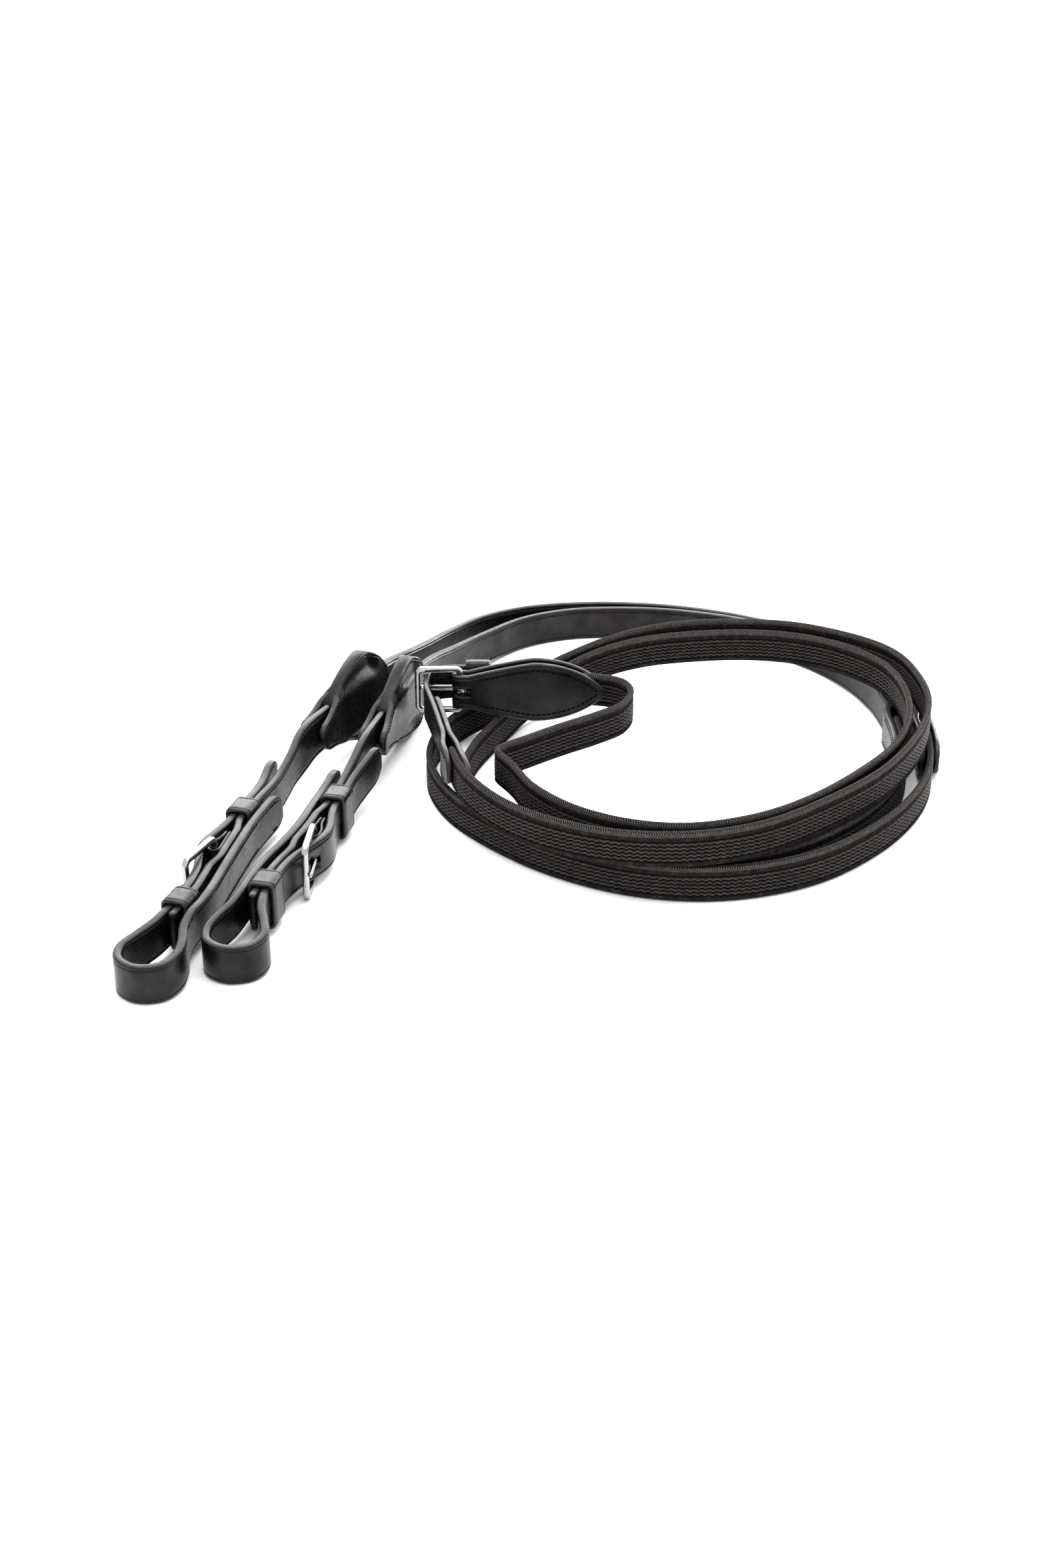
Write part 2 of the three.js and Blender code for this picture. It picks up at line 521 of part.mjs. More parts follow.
// ---- hand tab: one leaf-shaped piece folded round the hinge bar, its two faces round the web ----
const half = WEB_T / 2 + GAP + LAYER_T / 2;
const tabPoints = [[24, -half], [12, -half], [0, -half], [-12, -half], [-24, -half], [-36, -half], [-41, -half]];
for (let k = 0; k <= 8; k++) {
  const a = -Math.PI / 2 - (k * Math.PI) / 8;
  tabPoints.push([hinge.x + Math.cos(a) * half, Math.sin(a) * half]);
}
tabPoints.push([-41, half], [-36, half], [-24, half], [-12, half], [0, half], [12, half], [24, half]);
const tabRoute = new Route(tabPoints.map(([x, y]) => [x, hinge.y + y, HAND_Z]));
const tabHeight = (x) => {
  if (x < TAB_WIDEST) return Math.max(STRAP_W, TAB_H - 12 * ((TAB_WIDEST - x) / 29) ** 1.2);
  const t = Math.min(1, (x - TAB_WIDEST) / (TAB_TIP - TAB_WIDEST));
  return TAB_H * (1 - t * t) ** 0.75;
};
const tabEnds = 24 - TAB_TIP + 0.5;
const tab = strap(tabRoute, tabEnds, tabRoute.length - tabEnds, {
  width: (s) => tabHeight(tabRoute.point(s).x),
  thick: LAYER_T,
  coarse: 3,
});
const tabSlot = bar(new THREE.Vector3(-50.5, hinge.y, HAND_Z), new THREE.Vector3(-41, hinge.y, HAND_Z), 9, PRONG_H + 1.4);
add('right_hand_tab', cut(tab, tabSlot), LEATHER);
const tabRim = [];
for (let x = -36; x < 11; x += 3) tabRim.push([x, 1]);
tabRim.push([TAB_TIP - 4, 0]);
for (let x = 9; x > -37; x -= 3) tabRim.push([x, -1]);
const tabFace = hinge.y - half - LAYER_T / 2 - GAP - 0.3;
const tabLine = new Route(tabRim.map(([x, k]) => [x, tabFace, HAND_Z + k * (tabHeight(x) / 2 - 3.1)]));
const tabSeam = stations(tabLine, 0, tabLine.length, 7).map((s) => [s, 0]);
add('right_tab_thread', thread(tabLine, tabSeam, () => 0, 56), THREAD);

// ---- hand keeper: a band behind the tab for the other rein's billet ----
const keeperW = LAYER_T + 1.1 + 2 * KEEPER_WALL;
const handKeeper = ring(keeperW, STRAP_W + 1.2 + 2 * KEEPER_WALL, KEEPER_WALL, 11, 2.2, 0);
place(handKeeper, new THREE.Vector3(0, -1, 0), UP.clone(), new THREE.Vector3(-1, 0, 0), new THREE.Vector3(-38, 51.8, HAND_Z));
add('hand_keeper', handKeeper, LEATHER);

export default group;
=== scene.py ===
"""Looks of a pair of coiled reins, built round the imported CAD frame.

Routes are in metres, as in the CAD. Sections, offsets and distances along a route are in
millimetres, and turn into metres when a mesh is made.
"""

import math

import bmesh
import bpy
import numpy as np
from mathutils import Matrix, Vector
from mathutils.kdtree import KDTree


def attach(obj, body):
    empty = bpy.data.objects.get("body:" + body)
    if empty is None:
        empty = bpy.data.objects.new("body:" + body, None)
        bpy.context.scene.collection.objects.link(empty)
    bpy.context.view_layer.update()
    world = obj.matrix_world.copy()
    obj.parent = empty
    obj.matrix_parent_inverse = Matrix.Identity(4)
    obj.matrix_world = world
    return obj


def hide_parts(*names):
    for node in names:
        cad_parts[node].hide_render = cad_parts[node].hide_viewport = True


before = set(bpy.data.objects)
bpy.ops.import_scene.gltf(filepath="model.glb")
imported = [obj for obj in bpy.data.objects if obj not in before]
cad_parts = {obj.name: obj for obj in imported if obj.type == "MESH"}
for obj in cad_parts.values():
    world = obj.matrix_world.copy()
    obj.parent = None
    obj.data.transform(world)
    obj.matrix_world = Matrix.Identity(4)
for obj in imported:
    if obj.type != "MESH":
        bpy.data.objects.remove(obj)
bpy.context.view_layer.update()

# ---- driving dimensions, as in the CAD ----
STRAP_W, STRAP_T = 16.0, 3.2
WEB_W, WEB_T = 15.6, 2.8
BILLET_T, LAYER_T, GAP = 3.4, 2.4, 0.35
BIT_Z, FLOOR_Z, LOW_WEB_Z, HIGH_WEB_Z, HAND_Z = 0.0122, 0.00825, 0.008, 0.0242, 0.028
KEEPER_WALL, KEEPER_LEN, LOWER_KEEPER_S, UPPER_KEEPER_S = 1.6, 12.0, 11.5, 87.0
WIRE, FRAME_HALF_H, HAND_FRAME_HALF_H = 2.4, 12.0, 11.0
BIT_HINGE_S, BIT_HINGE_OFF, BIT_BAR_S, BIT_BAR_OFF = 55.0, 2.9, 34.0, 7.8
PRONG_T, PRONG_H = 1.2, 2.6
SEWN_GAP, BUCKLE_BOW, LOOP_R = 2.3, 1.8, 11.0
STOP_LEN, STOP_HALF_H, STOP_T, STOP_LEAN = 70.0, 19.4, 2.8, 0.2
SPLICE_LEN = 46.0
HAND_HINGE, HAND_BAR = (-45.4, 43.0), (-64.6, 43.0)
HAND_PRONG_Y = 45.2
TAB_H, TAB_WIDEST, TAB_TIP, TAB_END = 28.0, -13.0, 19.0, 24
STITCH_INSET, STITCH_ROW_H = 2.4, 5.6  # a seam from its piece's edge, and at most this high
PROUD = 0.05  # how far a seam stands off the leather
UP, X = np.array([0.0, 0.0, 1.0]), np.array([1.0, 0, 0])
MM = 0.001

# ---- routes, in metres ----
LEFT_LEATHER = [
    (-0.149, -0.141, BIT_Z), (-0.1432, -0.1225, BIT_Z), (-0.1388, -0.098, BIT_Z),
    (-0.1355, -0.08, BIT_Z), (-0.132, -0.063, BIT_Z), (-0.127, -0.046, BIT_Z),
    (-0.121, -0.028, 0.0125), (-0.1158, -0.01, 0.0165), (-0.1105, 0.006, 0.0202),
    (-0.103, 0.0235, 0.0204), (-0.0955, 0.041, 0.0204), (-0.088, 0.0585, 0.0202),
    (-0.0805, 0.076, 0.0189), (-0.073, 0.094, 0.0163), (-0.064, 0.114, 0.0128),
    (-0.053, 0.136, 0.01), (-0.038, 0.156, 0.0085), (-0.019, 0.168, FLOOR_Z),
    (0.003, 0.1735, FLOOR_Z), (0.031, 0.1745, FLOOR_Z), (0.061, 0.1695, FLOOR_Z),
    (0.09, 0.158, FLOOR_Z), (0.117, 0.14, FLOOR_Z), (0.138, 0.115, FLOOR_Z),
    (0.152, 0.087, FLOOR_Z), (0.159, 0.06, FLOOR_Z), (0.161, 0.04, FLOOR_Z),
]
LEFT_WEB = [
    (0.1605, 0.018, LOW_WEB_Z), (0.156, -0.008, LOW_WEB_Z), (0.1455, -0.033, LOW_WEB_Z),
    (0.128, -0.058, LOW_WEB_Z), (0.103, -0.081, LOW_WEB_Z), (0.076, -0.0935, LOW_WEB_Z),
    (0.048, -0.097, LOW_WEB_Z), (0.02, -0.091, LOW_WEB_Z), (-0.007, -0.076, LOW_WEB_Z),
    (-0.03, -0.055, LOW_WEB_Z), (-0.048, -0.031, LOW_WEB_Z), (-0.0575, -0.004, LOW_WEB_Z),
    (-0.057, 0.021, LOW_WEB_Z), (-0.049, 0.043, LOW_WEB_Z), (-0.035, 0.06, 0.009),
    (-0.018, 0.075, 0.0125), (0.002, 0.089, 0.0175), (0.025, 0.101, 0.022),
    (0.05, 0.11, HIGH_WEB_Z), (0.078, 0.1145, HIGH_WEB_Z), (0.109, 0.1115, HIGH_WEB_Z),
    (0.136, 0.097, HIGH_WEB_Z), (0.1525, 0.079, HIGH_WEB_Z), (0.1595, 0.0545, HIGH_WEB_Z),
    (0.16, 0.025, HIGH_WEB_Z), (0.1505, -0.007, HIGH_WEB_Z), (0.131, -0.041, HIGH_WEB_Z),
    (0.105, -0.068, HIGH_WEB_Z), (0.077, -0.089, HIGH_WEB_Z), (0.048, -0.098, HIGH_WEB_Z),
    (0.018, -0.0965, HIGH_WEB_Z), (-0.007, -0.086, HIGH_WEB_Z), (-0.026, -0.07, HIGH_WEB_Z),
    (-0.04, -0.048, HIGH_WEB_Z), (-0.047, -0.026, HIGH_WEB_Z),
]
LEFT_HAND = [
    (-0.051, -0.005, 0.0246), (-0.0545, 0.013, 0.0254), (-0.0578, 0.027, 0.0266),
    (-0.06, 0.036, 0.0273), (-0.0602, 0.043, HAND_Z), (-0.0575, 0.0488, HAND_Z),
    (-0.051, 0.0514, HAND_Z), (-0.043, 0.0518, HAND_Z), (-0.031, 0.0518, HAND_Z),
    (-0.017, 0.0518, HAND_Z), (-0.003, 0.0518, HAND_Z),
]
RIGHT_LEATHER = [
    (-0.1205, -0.127, BIT_Z), (-0.1175, -0.113, BIT_Z), (-0.1135, -0.0995, BIT_Z),
    (-0.1075, -0.0845, BIT_Z), (-0.1022, -0.068, BIT_Z), (-0.098, -0.05, BIT_Z),
    (-0.094, -0.034, 0.0126), (-0.0898, -0.019, 0.016), (-0.0855, -0.004, 0.0202),
    (-0.0807, 0.0146, 0.0204), (-0.0759, 0.0332, 0.0204), (-0.0711, 0.0518, 0.0202),
    (-0.0663, 0.0704, 0.0188), (-0.06, 0.0905, 0.0158), (-0.0505, 0.11, 0.0123),
    (-0.037, 0.1315, 0.0098), (-0.019, 0.153, 0.0085), (0.001, 0.164, FLOOR_Z),
    (0.022, 0.1675, FLOOR_Z), (0.049, 0.1665, FLOOR_Z), (0.075, 0.16, FLOOR_Z),
    (0.098, 0.149, FLOOR_Z), (0.119, 0.1315, FLOOR_Z), (0.1355, 0.108, FLOOR_Z),
    (0.145, 0.082, FLOOR_Z), (0.1485, 0.058, FLOOR_Z), (0.1493, 0.042, FLOOR_Z),
]
RIGHT_WEB = [
    (0.1493, 0.022, LOW_WEB_Z), (0.146, -0.004, LOW_WEB_Z), (0.1365, -0.029, LOW_WEB_Z),
    (0.1205, -0.0525, LOW_WEB_Z), (0.0985, -0.073, LOW_WEB_Z), (0.074, -0.0858, LOW_WEB_Z),
    (0.048, -0.09, LOW_WEB_Z), (0.022, -0.085, LOW_WEB_Z), (-0.002, -0.0725, LOW_WEB_Z),
    (-0.0225, -0.053, LOW_WEB_Z), (-0.0375, -0.031, LOW_WEB_Z), (-0.0435, -0.009, LOW_WEB_Z),
    (-0.0395, 0.014, LOW_WEB_Z), (-0.0325, 0.033, LOW_WEB_Z), (-0.025, 0.05, LOW_WEB_Z),
    (-0.015, 0.0665, 0.0105), (0, 0.079, 0.0155), (0.017, 0.0875, 0.0205), (0.038, 0.094, 0.0238),
    (0.062, 0.0995, HIGH_WEB_Z), (0.088, 0.1015, HIGH_WEB_Z), (0.112, 0.0965, HIGH_WEB_Z),
    (0.132, 0.084, HIGH_WEB_Z), (0.1465, 0.064, HIGH_WEB_Z), (0.1515, 0.038, HIGH_WEB_Z),
    (0.149, 0.009, HIGH_WEB_Z), (0.1385, -0.019, HIGH_WEB_Z), (0.119, -0.0455, HIGH_WEB_Z),
    (0.097, -0.068, HIGH_WEB_Z), (0.074, -0.0835, HIGH_WEB_Z), (0.048, -0.0912, HIGH_WEB_Z),
    (0.024, -0.088, HIGH_WEB_Z), (0.0025, -0.076, HIGH_WEB_Z), (-0.0135, -0.0575, HIGH_WEB_Z),
    (-0.022, -0.038, HIGH_WEB_Z),
]
RIGHT_HAND = [
    (-0.0275, -0.0275, HIGH_WEB_Z), (-0.0283, -0.0235, HIGH_WEB_Z), (-0.0255, -0.0198, HIGH_WEB_Z),
    (-0.018, -0.014, HIGH_WEB_Z), (-0.002, -0.001, HIGH_WEB_Z), (0.015, 0.0115, HIGH_WEB_Z),
    (0.0255, 0.0215, HIGH_WEB_Z), (0.0298, 0.033, 0.0248), (0.0275, 0.04, 0.026),
    (0.021, 0.0429, 0.027), (0.012, 0.043, HAND_Z), (0.004, 0.043, HAND_Z),
]


# ---- camera ----
def make_camera():
    data = bpy.data.cameras.new("camera")
    data.lens, data.sensor_width = 50, 36
    data.clip_start = 0.01
    cam = bpy.data.objects.new("camera", data)
    down, away = math.radians(27), 0.950
    cam.location = (-0.018, 0.005 - away * math.cos(down), away * math.sin(down))
    cam.rotation_euler = (math.pi / 2 - down, 0, 0)
    bpy.context.scene.collection.objects.link(cam)
    bpy.context.scene.camera = cam


make_camera()


# ---- routes ----
def smooth(x, a, b):
    t = np.clip((np.asarray(x, float) - a) / (b - a), 0, 1)
    return t * t * (3 - 2 * t)


class Route:
    """A smooth line through points, read by distance along it. Points are in metres, or in
    millimetres with scale 1; everything read from it is in millimetres."""

    PER = 60

    def __init__(self, points, scale=1000):
        p = np.array(points, float) * scale
        e = np.vstack([2 * p[0] - p[1], p, 2 * p[-1] - p[-2]])
        t = np.linspace(0, 1, self.PER, endpoint=False)[:, None]
        curves = []
        for i in range(len(p) - 1):
            p0, p1, p2, p3 = e[i : i + 4]
            m1, m2 = (p2 - p0) / 2, (p3 - p1) / 2
            square, cube = -3 * p1 + 3 * p2 - 2 * m1 - m2, 2 * p1 - 2 * p2 + m1 + m2
            curves.append(p1 + m1 * t + square * t**2 + cube * t**3)
        self.dense = np.vstack(curves + [p[-1:]])
        steps = np.linalg.norm(np.diff(self.dense, axis=0), axis=1)
        self.len = np.concatenate([[0], np.cumsum(steps)])
        self.length = float(self.len[-1])

    def station(self, i):
        return float(self.len[i * self.PER])

    def _inside(self, s):
        return np.stack([np.interp(s, self.len, self.dense[:, k]) for k in range(3)], -1)

    def flat(self, s):
        c = np.clip(s, 0.4, self.length - 0.4)
        d = self._inside(c + 0.3) - self._inside(c - 0.3)
        d[..., 2] = 0
        return d / np.linalg.norm(d, axis=-1, keepdims=True)

    def point(self, s):
        s = np.asarray(s, float)
        c = np.clip(s, 0, self.length)
        return self._inside(c) + self.flat(c) * (s - c)[..., None]

    def side(self, s):
        f = self.flat(np.asarray(s, float))
        return np.stack([-f[..., 1], f[..., 0], np.zeros_like(f[..., 0])], -1)

    def at(self, s, off=0.0, up=0.0):
        s = np.asarray(s, float)
        off, up = np.asarray(off, float), np.asarray(up, float)
        return self.point(s) + self.side(s) * off[..., None] + UP * up[..., None]


# ---- meshes ----
def new_mesh(name, co, faces, strap=None, sharp=45):
    """An object from points in millimetres. strap holds (along, across, out) for each point."""
    mesh = bpy.data.meshes.new(name)
    mesh.from_pydata((np.asarray(co).reshape(-1, 3) * MM).tolist(), [], faces)
    if strap is not None:
        layer = mesh.attributes.new("strap", "FLOAT_VECTOR", "POINT")
        layer.data.foreach_set("vector", np.asarray(strap, np.float32).ravel())
    shape = bmesh.new()
    shape.from_mesh(mesh)
    if shape.calc_volume(signed=True) < 0:
        bmesh.ops.reverse_faces(shape, faces=shape.faces)
        shape.to_mesh(mesh)
    shape.free()
    mesh.shade_smooth()
    mesh.set_sharp_from_angle(angle=math.radians(sharp))
    obj = bpy.data.objects.new(f"{name}_look", mesh)
    bpy.context.scene.collection.objects.link(obj)
    return obj


def dress(obj, material, body, nodes=()):
    obj.data.materials.clear()
    obj.data.materials.append(material)
    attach(obj, body)
    if nodes:
        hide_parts(*nodes)
    return obj


def grid_faces(n, k, closed_n=False):
    faces = []
    rows = n if closed_n else n - 1
    for i in range(rows):
        a, b = i * k, ((i + 1) % n) * k
        for j in range(k):
            m = (j + 1) % k
            faces.append((a + j, a + m, b + m, b + j))
    return faces


def sweep(name, route, s, rings, sharp=45, mark=None):
    """A solid whose section at each distance s is a ring of (offset, height) points."""
    n, k = rings.shape[:2]
    co = route.point(s)[:, None] + route.side(s)[:, None] * rings[..., :1] + UP * rings[..., 1:]
    across = rings[..., 1] if mark is None else np.broadcast_to(mark, (n, k))
    strap = np.stack([np.repeat(s[:, None], k, 1), across, rings[..., 0]], -1)
    faces = grid_faces(n, k)
    faces.append(tuple(range(k - 1, -1, -1)))
    faces.append(tuple(range((n - 1) * k, n * k)))
    return new_mesh(name, co, faces, strap, sharp)


def band(name, path, out, axis, section, sharp=40):
    """A closed hoop: path points, their outward directions, and a ring section of (out, axis)."""
    m, k = len(path), len(section)
    co = path[:, None] + out[:, None] * section[None, :, :1] + axis * section[None, :, 1:]
    strap = np.zeros((m, k, 3))
    strap[..., 0] = np.cumsum(np.r_[0, np.linalg.norm(np.diff(path, axis=0), axis=1)])[:, None]
    strap[..., 1] = abs(section[:, 1]).max() - abs(section[None, :, 1])
    strap[..., 2] = section[None, :, 0]
    return new_mesh(name, co, grid_faces(m, k, True), strap, sharp)


def rounded_path(w, h, r, per=7):
    """Points and outward directions round a rounded rectangle in its own plane."""
    pts, out = [], []
    for cx, cy, a0 in ((1, 1, 0), (-1, 1, 90), (-1, -1, 180), (1, -1, 270)):
        for i in range(per):
            a = math.radians(a0 + 90 * i / (per - 1))
            pts.append((cx * (w / 2 - r) + r * math.cos(a), cy * (h / 2 - r) + r * math.sin(a)))
            out.append((math.cos(a), math.sin(a)))
    return np.array(pts), np.array(out)


def fine(points, out, step=1.5):
    """The same closed path with more points on its straight runs."""
    a, b = [], []
    for i in range(len(points)):
        p, q = points[i], points[(i + 1) % len(points)]
        n = max(1, int(np.linalg.norm(q - p) / step))
        for t in np.arange(n) / n:
            a.append(p + (q - p) * t)
            d = out[i] + (out[(i + 1) % len(points)] - out[i]) * t
            b.append(d / np.linalg.norm(d))
    return np.array(a), np.array(b)


def superellipse(a, b, power, n=20):
    t = np.arange(n) * 2 * math.pi / n
    c, s = np.cos(t), np.sin(t)
    x = a * np.sign(c) * abs(c) ** (2 / power)
    y = b * np.sign(s) * abs(s) ** (2 / power)
    return np.stack([x, y], -1)


def carry_values(old, new):
    """Gives a cut mesh the strap values of the nearest points it had before."""
    tree = KDTree(len(old.vertices))
    for i, v in enumerate(old.vertices):
        tree.insert(v.co, i)
    tree.balance()
    before = np.empty(len(old.vertices) * 3, np.float32)
    old.attributes["strap"].data.foreach_get("vector", before)
    nearest = [tree.find(v.co)[1] for v in new.vertices]
    if "strap" in new.attributes:
        new.attributes.remove(new.attributes["strap"])
    layer = new.attributes.new("strap", "FLOAT_VECTOR", "POINT")
    layer.data.foreach_set("vector", before.reshape(-1, 3)[nearest].ravel())


def carve(obj, *boxes):
    """Cuts boxes, each (centre, along, length, thickness, height) in millimetres, out of obj."""
    for centre, along, length, thick, height in boxes:
        side = np.array([-along[1], along[0], 0.0])
        corners = []
        for x in (-0.5, 0.5):
            for y in (-0.5, 0.5):
                for z in (-0.5, 0.5):
                    corners.append(centre + along * length * x + side * thick * y + UP * height * z)
        faces = [(0, 1, 3, 2), (4, 6, 7, 5), (0, 4, 5, 1), (2, 3, 7, 6), (0, 2, 6, 4), (1, 5, 7, 3)]
        tool = new_mesh("tool", corners, faces)
        cut = obj.modifiers.new("cut", "BOOLEAN")
        cut.operation, cut.solver, cut.object = "DIFFERENCE", "EXACT", tool
        solved = obj.evaluated_get(bpy.context.evaluated_depsgraph_get())
        done = bpy.data.meshes.new_from_object(solved)
        carry_values(obj.data, done)
        obj.modifiers.clear()
        obj.data = done
        bpy.data.objects.remove(tool)
    return obj


# ---- sections ----
EDGE = ((0.42, 0.04), (0.76, 0.26), (0.95, 0.66), (1.0, 1.05))


def leather_rings(half_h, half_t, crease=0.24, mids=3, inset=1.75):
    """Rounded strap sections with a creased line near each edge. Arrays run along the strap."""
    half_h, half_t = np.broadcast_arrays(np.asarray(half_h, float), np.asarray(half_t, float))
    f = np.minimum(half_h / 4.2, 1)
    side = [(k * half_t, -half_h + d * f) for k, d in EDGE]
    side.append((half_t, -half_h + (inset - 0.35) * f))
    side.append((half_t - crease, -half_h + inset * f))
    side.append((half_t, -half_h + (inset + 0.35) * f))
    inner = half_h - (inset + 1.1) * f
    for m in range(mids):
        side.append((half_t, -inner + 2 * inner * m / max(mids - 1, 1)))
    side.append((half_t, half_h - (inset + 0.35) * f))
    side.append((half_t - crease, half_h - inset * f))
    side.append((half_t, half_h - (inset - 0.35) * f))
    side += [(k * half_t, half_h - d * f) for k, d in reversed(EDGE)]
    zero = np.zeros_like(half_h)
    ring = [(zero, -half_h)] + side + [(zero, half_h)] + [(-a, b) for a, b in reversed(side)]
    return np.stack([np.stack([a, b], -1) for a, b in ring], 1)


def runs(s0, s1, step=1.5, tip=1.4):
    """Distances along a piece, closer together at its two ends."""
    near = np.array([0, 0.06, 0.2, 0.45, 0.75, 1.0]) * tip
    n = max(2, int((s1 - s0 - 2 * tip) / step))
    return np.concatenate([s0 + near, np.linspace(s0 + tip, s1 - tip, n + 1)[1:-1], s1 - near[::-1]])


def ends(s, tip=1.4, least=0.3):
    """How far a piece has reached its full thickness, near its two ends."""
    d = np.minimum(s - s[0], s[-1] - s)
    t = np.clip(d / tip, 0, 1)
    return least + (1 - least) * np.sqrt(1 - (1 - t) ** 2)


def pointed(s, tip, length, full):
    t = np.minimum(abs(tip - s) / length, 1)
    return 3.5 + (full - 3.5) * np.sqrt(1 - (1 - t) ** 2)


def leather(name, route, s0, s1, width, thick, offset=None, step=1.5, mids=3, body="reins", node=None):
    """A leather strap along a route from s0 to s1, which stands for the CAD node of its name."""
    s = runs(s0, s1, step)
    e = ends(s)
    half_h = width(s) / 2 - 0.7 * (1 - e)
    rings = leather_rings(half_h, thick / 2 * e, mids=mids)
    edge = half_h[:, None] - abs(rings[..., 1])
    if offset is not None:
        rings[..., 0] += offset(np.repeat(s[:, None], rings.shape[1], 1), rings[..., 1])
    return dress(sweep(name, route, s, rings, mark=edge), LEATHER, body, [node or name])


def stitches(name, rows, body, nodes=(), pitch=2.1, length=1.75, radius=0.3):
    """Slanted saddle stitches. rows holds (points, outward directions), both in millimetres."""
    co, faces = [], []
    turn = np.arange(6) * math.pi / 3
    for pts, out in rows:
        gaps = np.linalg.norm(np.diff(pts, axis=0), axis=1)
        along = np.r_[0, np.cumsum(gaps)]
        count = int(along[-1] / pitch)
        for i in range(count):
            d = (i + 0.5) * along[-1] / count
            c = np.array([np.interp(d, along, pts[:, k]) for k in range(3)])
            e = np.array([np.interp(d + 0.2, along, pts[:, k]) for k in range(3)])
            b = np.array([np.interp(d - 0.2, along, pts[:, k]) for k in range(3)])
            n = np.array([np.interp(d, along, out[:, k]) for k in range(3)])
            n /= np.linalg.norm(n)
            t = (e - b) / max(np.linalg.norm(e - b), 1e-9)
            t = t + 0.28 * np.cross(n, t)
            t = t - n * (t @ n)
            t /= np.linalg.norm(t)
            w = np.cross(n, t)
            first = len(co)
            for x, r in ((-1, 0.35), (-0.72, 0.85), (-0.3, 1.0), (0.3, 1.0), (0.72, 0.85), (1, 0.35)):
                dip = -0.22 * x * x
                for a in turn:
                    round_it = (w * math.cos(a) + n * math.sin(a)) * radius * r
                    co.append(c + t * x * length / 2 + round_it + n * dip)
            for q in range(5):
                for j in range(6):
                    m = (j + 1) % 6
                    p0 = first + q * 6
                    faces.append((p0 + j, p0 + 6 + j, p0 + 6 + m, p0 + m))
            faces.append(tuple(first + j for j in range(6)))
            faces.append(tuple(first + 30 + j for j in reversed(range(6))))
    return dress(new_mesh(name, co, faces, None, 180), THREAD, body, nodes)


def face_row(route, s, h, off):
    """A stitched row on a strap's face, and which way that face looks."""
    s = np.asarray(s, float)
    off = off(s, h) if callable(off) else np.broadcast_to(off, s.shape)
    pts = route.at(s, off, np.broadcast_to(h, s.shape))
    return pts, route.side(s) * np.sign(np.mean(off))


def edge_rows(route, s, width, off):
    """The two seams near the upper and lower edges of one face of a strap."""
    high = np.minimum(width(s) / 2 - STITCH_INSET, STITCH_ROW_H)
    return [face_row(route, s, k * high, off) for k in (-1, 1)]


# ---- materials ----
class Shader:
    """A material's nodes, with a short call for each kind that is used here. A value given to
    one is another node's output, a number, or a colour of three numbers."""

    def __init__(self, name):
        self.material = bpy.data.materials.new(name)
        self.material.use_nodes = True
        self.tree = self.material.node_tree
        self.surface = self.tree.nodes["Principled BSDF"].inputs

    def feed(self, socket, value):
        if isinstance(value, bpy.types.NodeSocket):
            self.tree.links.new(value, socket)
        else:
            socket.default_value = (*value, 1) if isinstance(value, tuple) else value

    def node(self, kind, *values):
        node = self.tree.nodes.new(f"ShaderNode{kind}")
        for socket, value in values:
            self.feed(node.inputs[socket], value)
        return node

    def set(self, socket, value):
        self.feed(self.surface[socket], value)

    def place(self):
        return self.node("TexCoord").outputs["Object"]

    def strap(self):
        """Three distances in millimetres, as the piece's maker stored them: along the piece,
        across it, and out of its middle plane."""
        attribute = self.node("Attribute")
        attribute.attribute_name = "strap"
        return self.node("SeparateXYZ", (0, attribute.outputs["Vector"])).outputs

    def noise(self, place, scale, detail, rough=0.55):
        values = ("Vector", place), ("Scale", scale), ("Detail", detail), ("Roughness", rough)
        return self.node("TexNoise", *values).outputs["Fac"]

    def cells(self, place, scale):
        return self.node("TexVoronoi", ("Vector", place), ("Scale", scale)).outputs["Distance"]

    def ramp(self, value, first, *others):
        node = self.node("ValToRGB", ("Fac", value))
        stops = node.color_ramp.elements
        stops[0].position, stops[0].color = first[0], (*first[1], 1)
        stops[1].position, stops[1].color = others[-1][0], (*others[-1][1], 1)
        for position, colour in others[:-1]:
            stops.new(position).color = (*colour, 1)
        return node.outputs["Color"]

    def spread(self, value, low, high, a=0.0, b=1.0):
        """Takes a to low and b to high, in a straight line between them, and no further."""
        ranges = ("From Min", a), ("From Max", b), ("To Min", low), ("To Max", high)
        return self.node("MapRange", ("Value", value), *ranges).outputs["Result"]

    def calc(self, operation, a, b=0):
        node = self.node("Math", (0, a), (1, b))
        node.operation = operation
        return node.outputs[0]

    def plus(self, a, b):
        return self.calc("ADD", a, b)

    def times(self, a, b):
        return self.calc("MULTIPLY", a, b)

    def wave(self, value):
        return self.calc("SINE", value)

    def blend(self, part, low, high):
        node = self.node("Mix")
        node.data_type = "RGBA"
        for socket, value in ((0, part), (6, low), (7, high)):
            self.feed(node.inputs[socket], value)
        return node.outputs[2]

    def bump(self, height, strength, distance):
        values = ("Strength", strength), ("Distance", distance), ("Height", height)
        self.set("Normal", self.node("Bump", *values).outputs["Normal"])


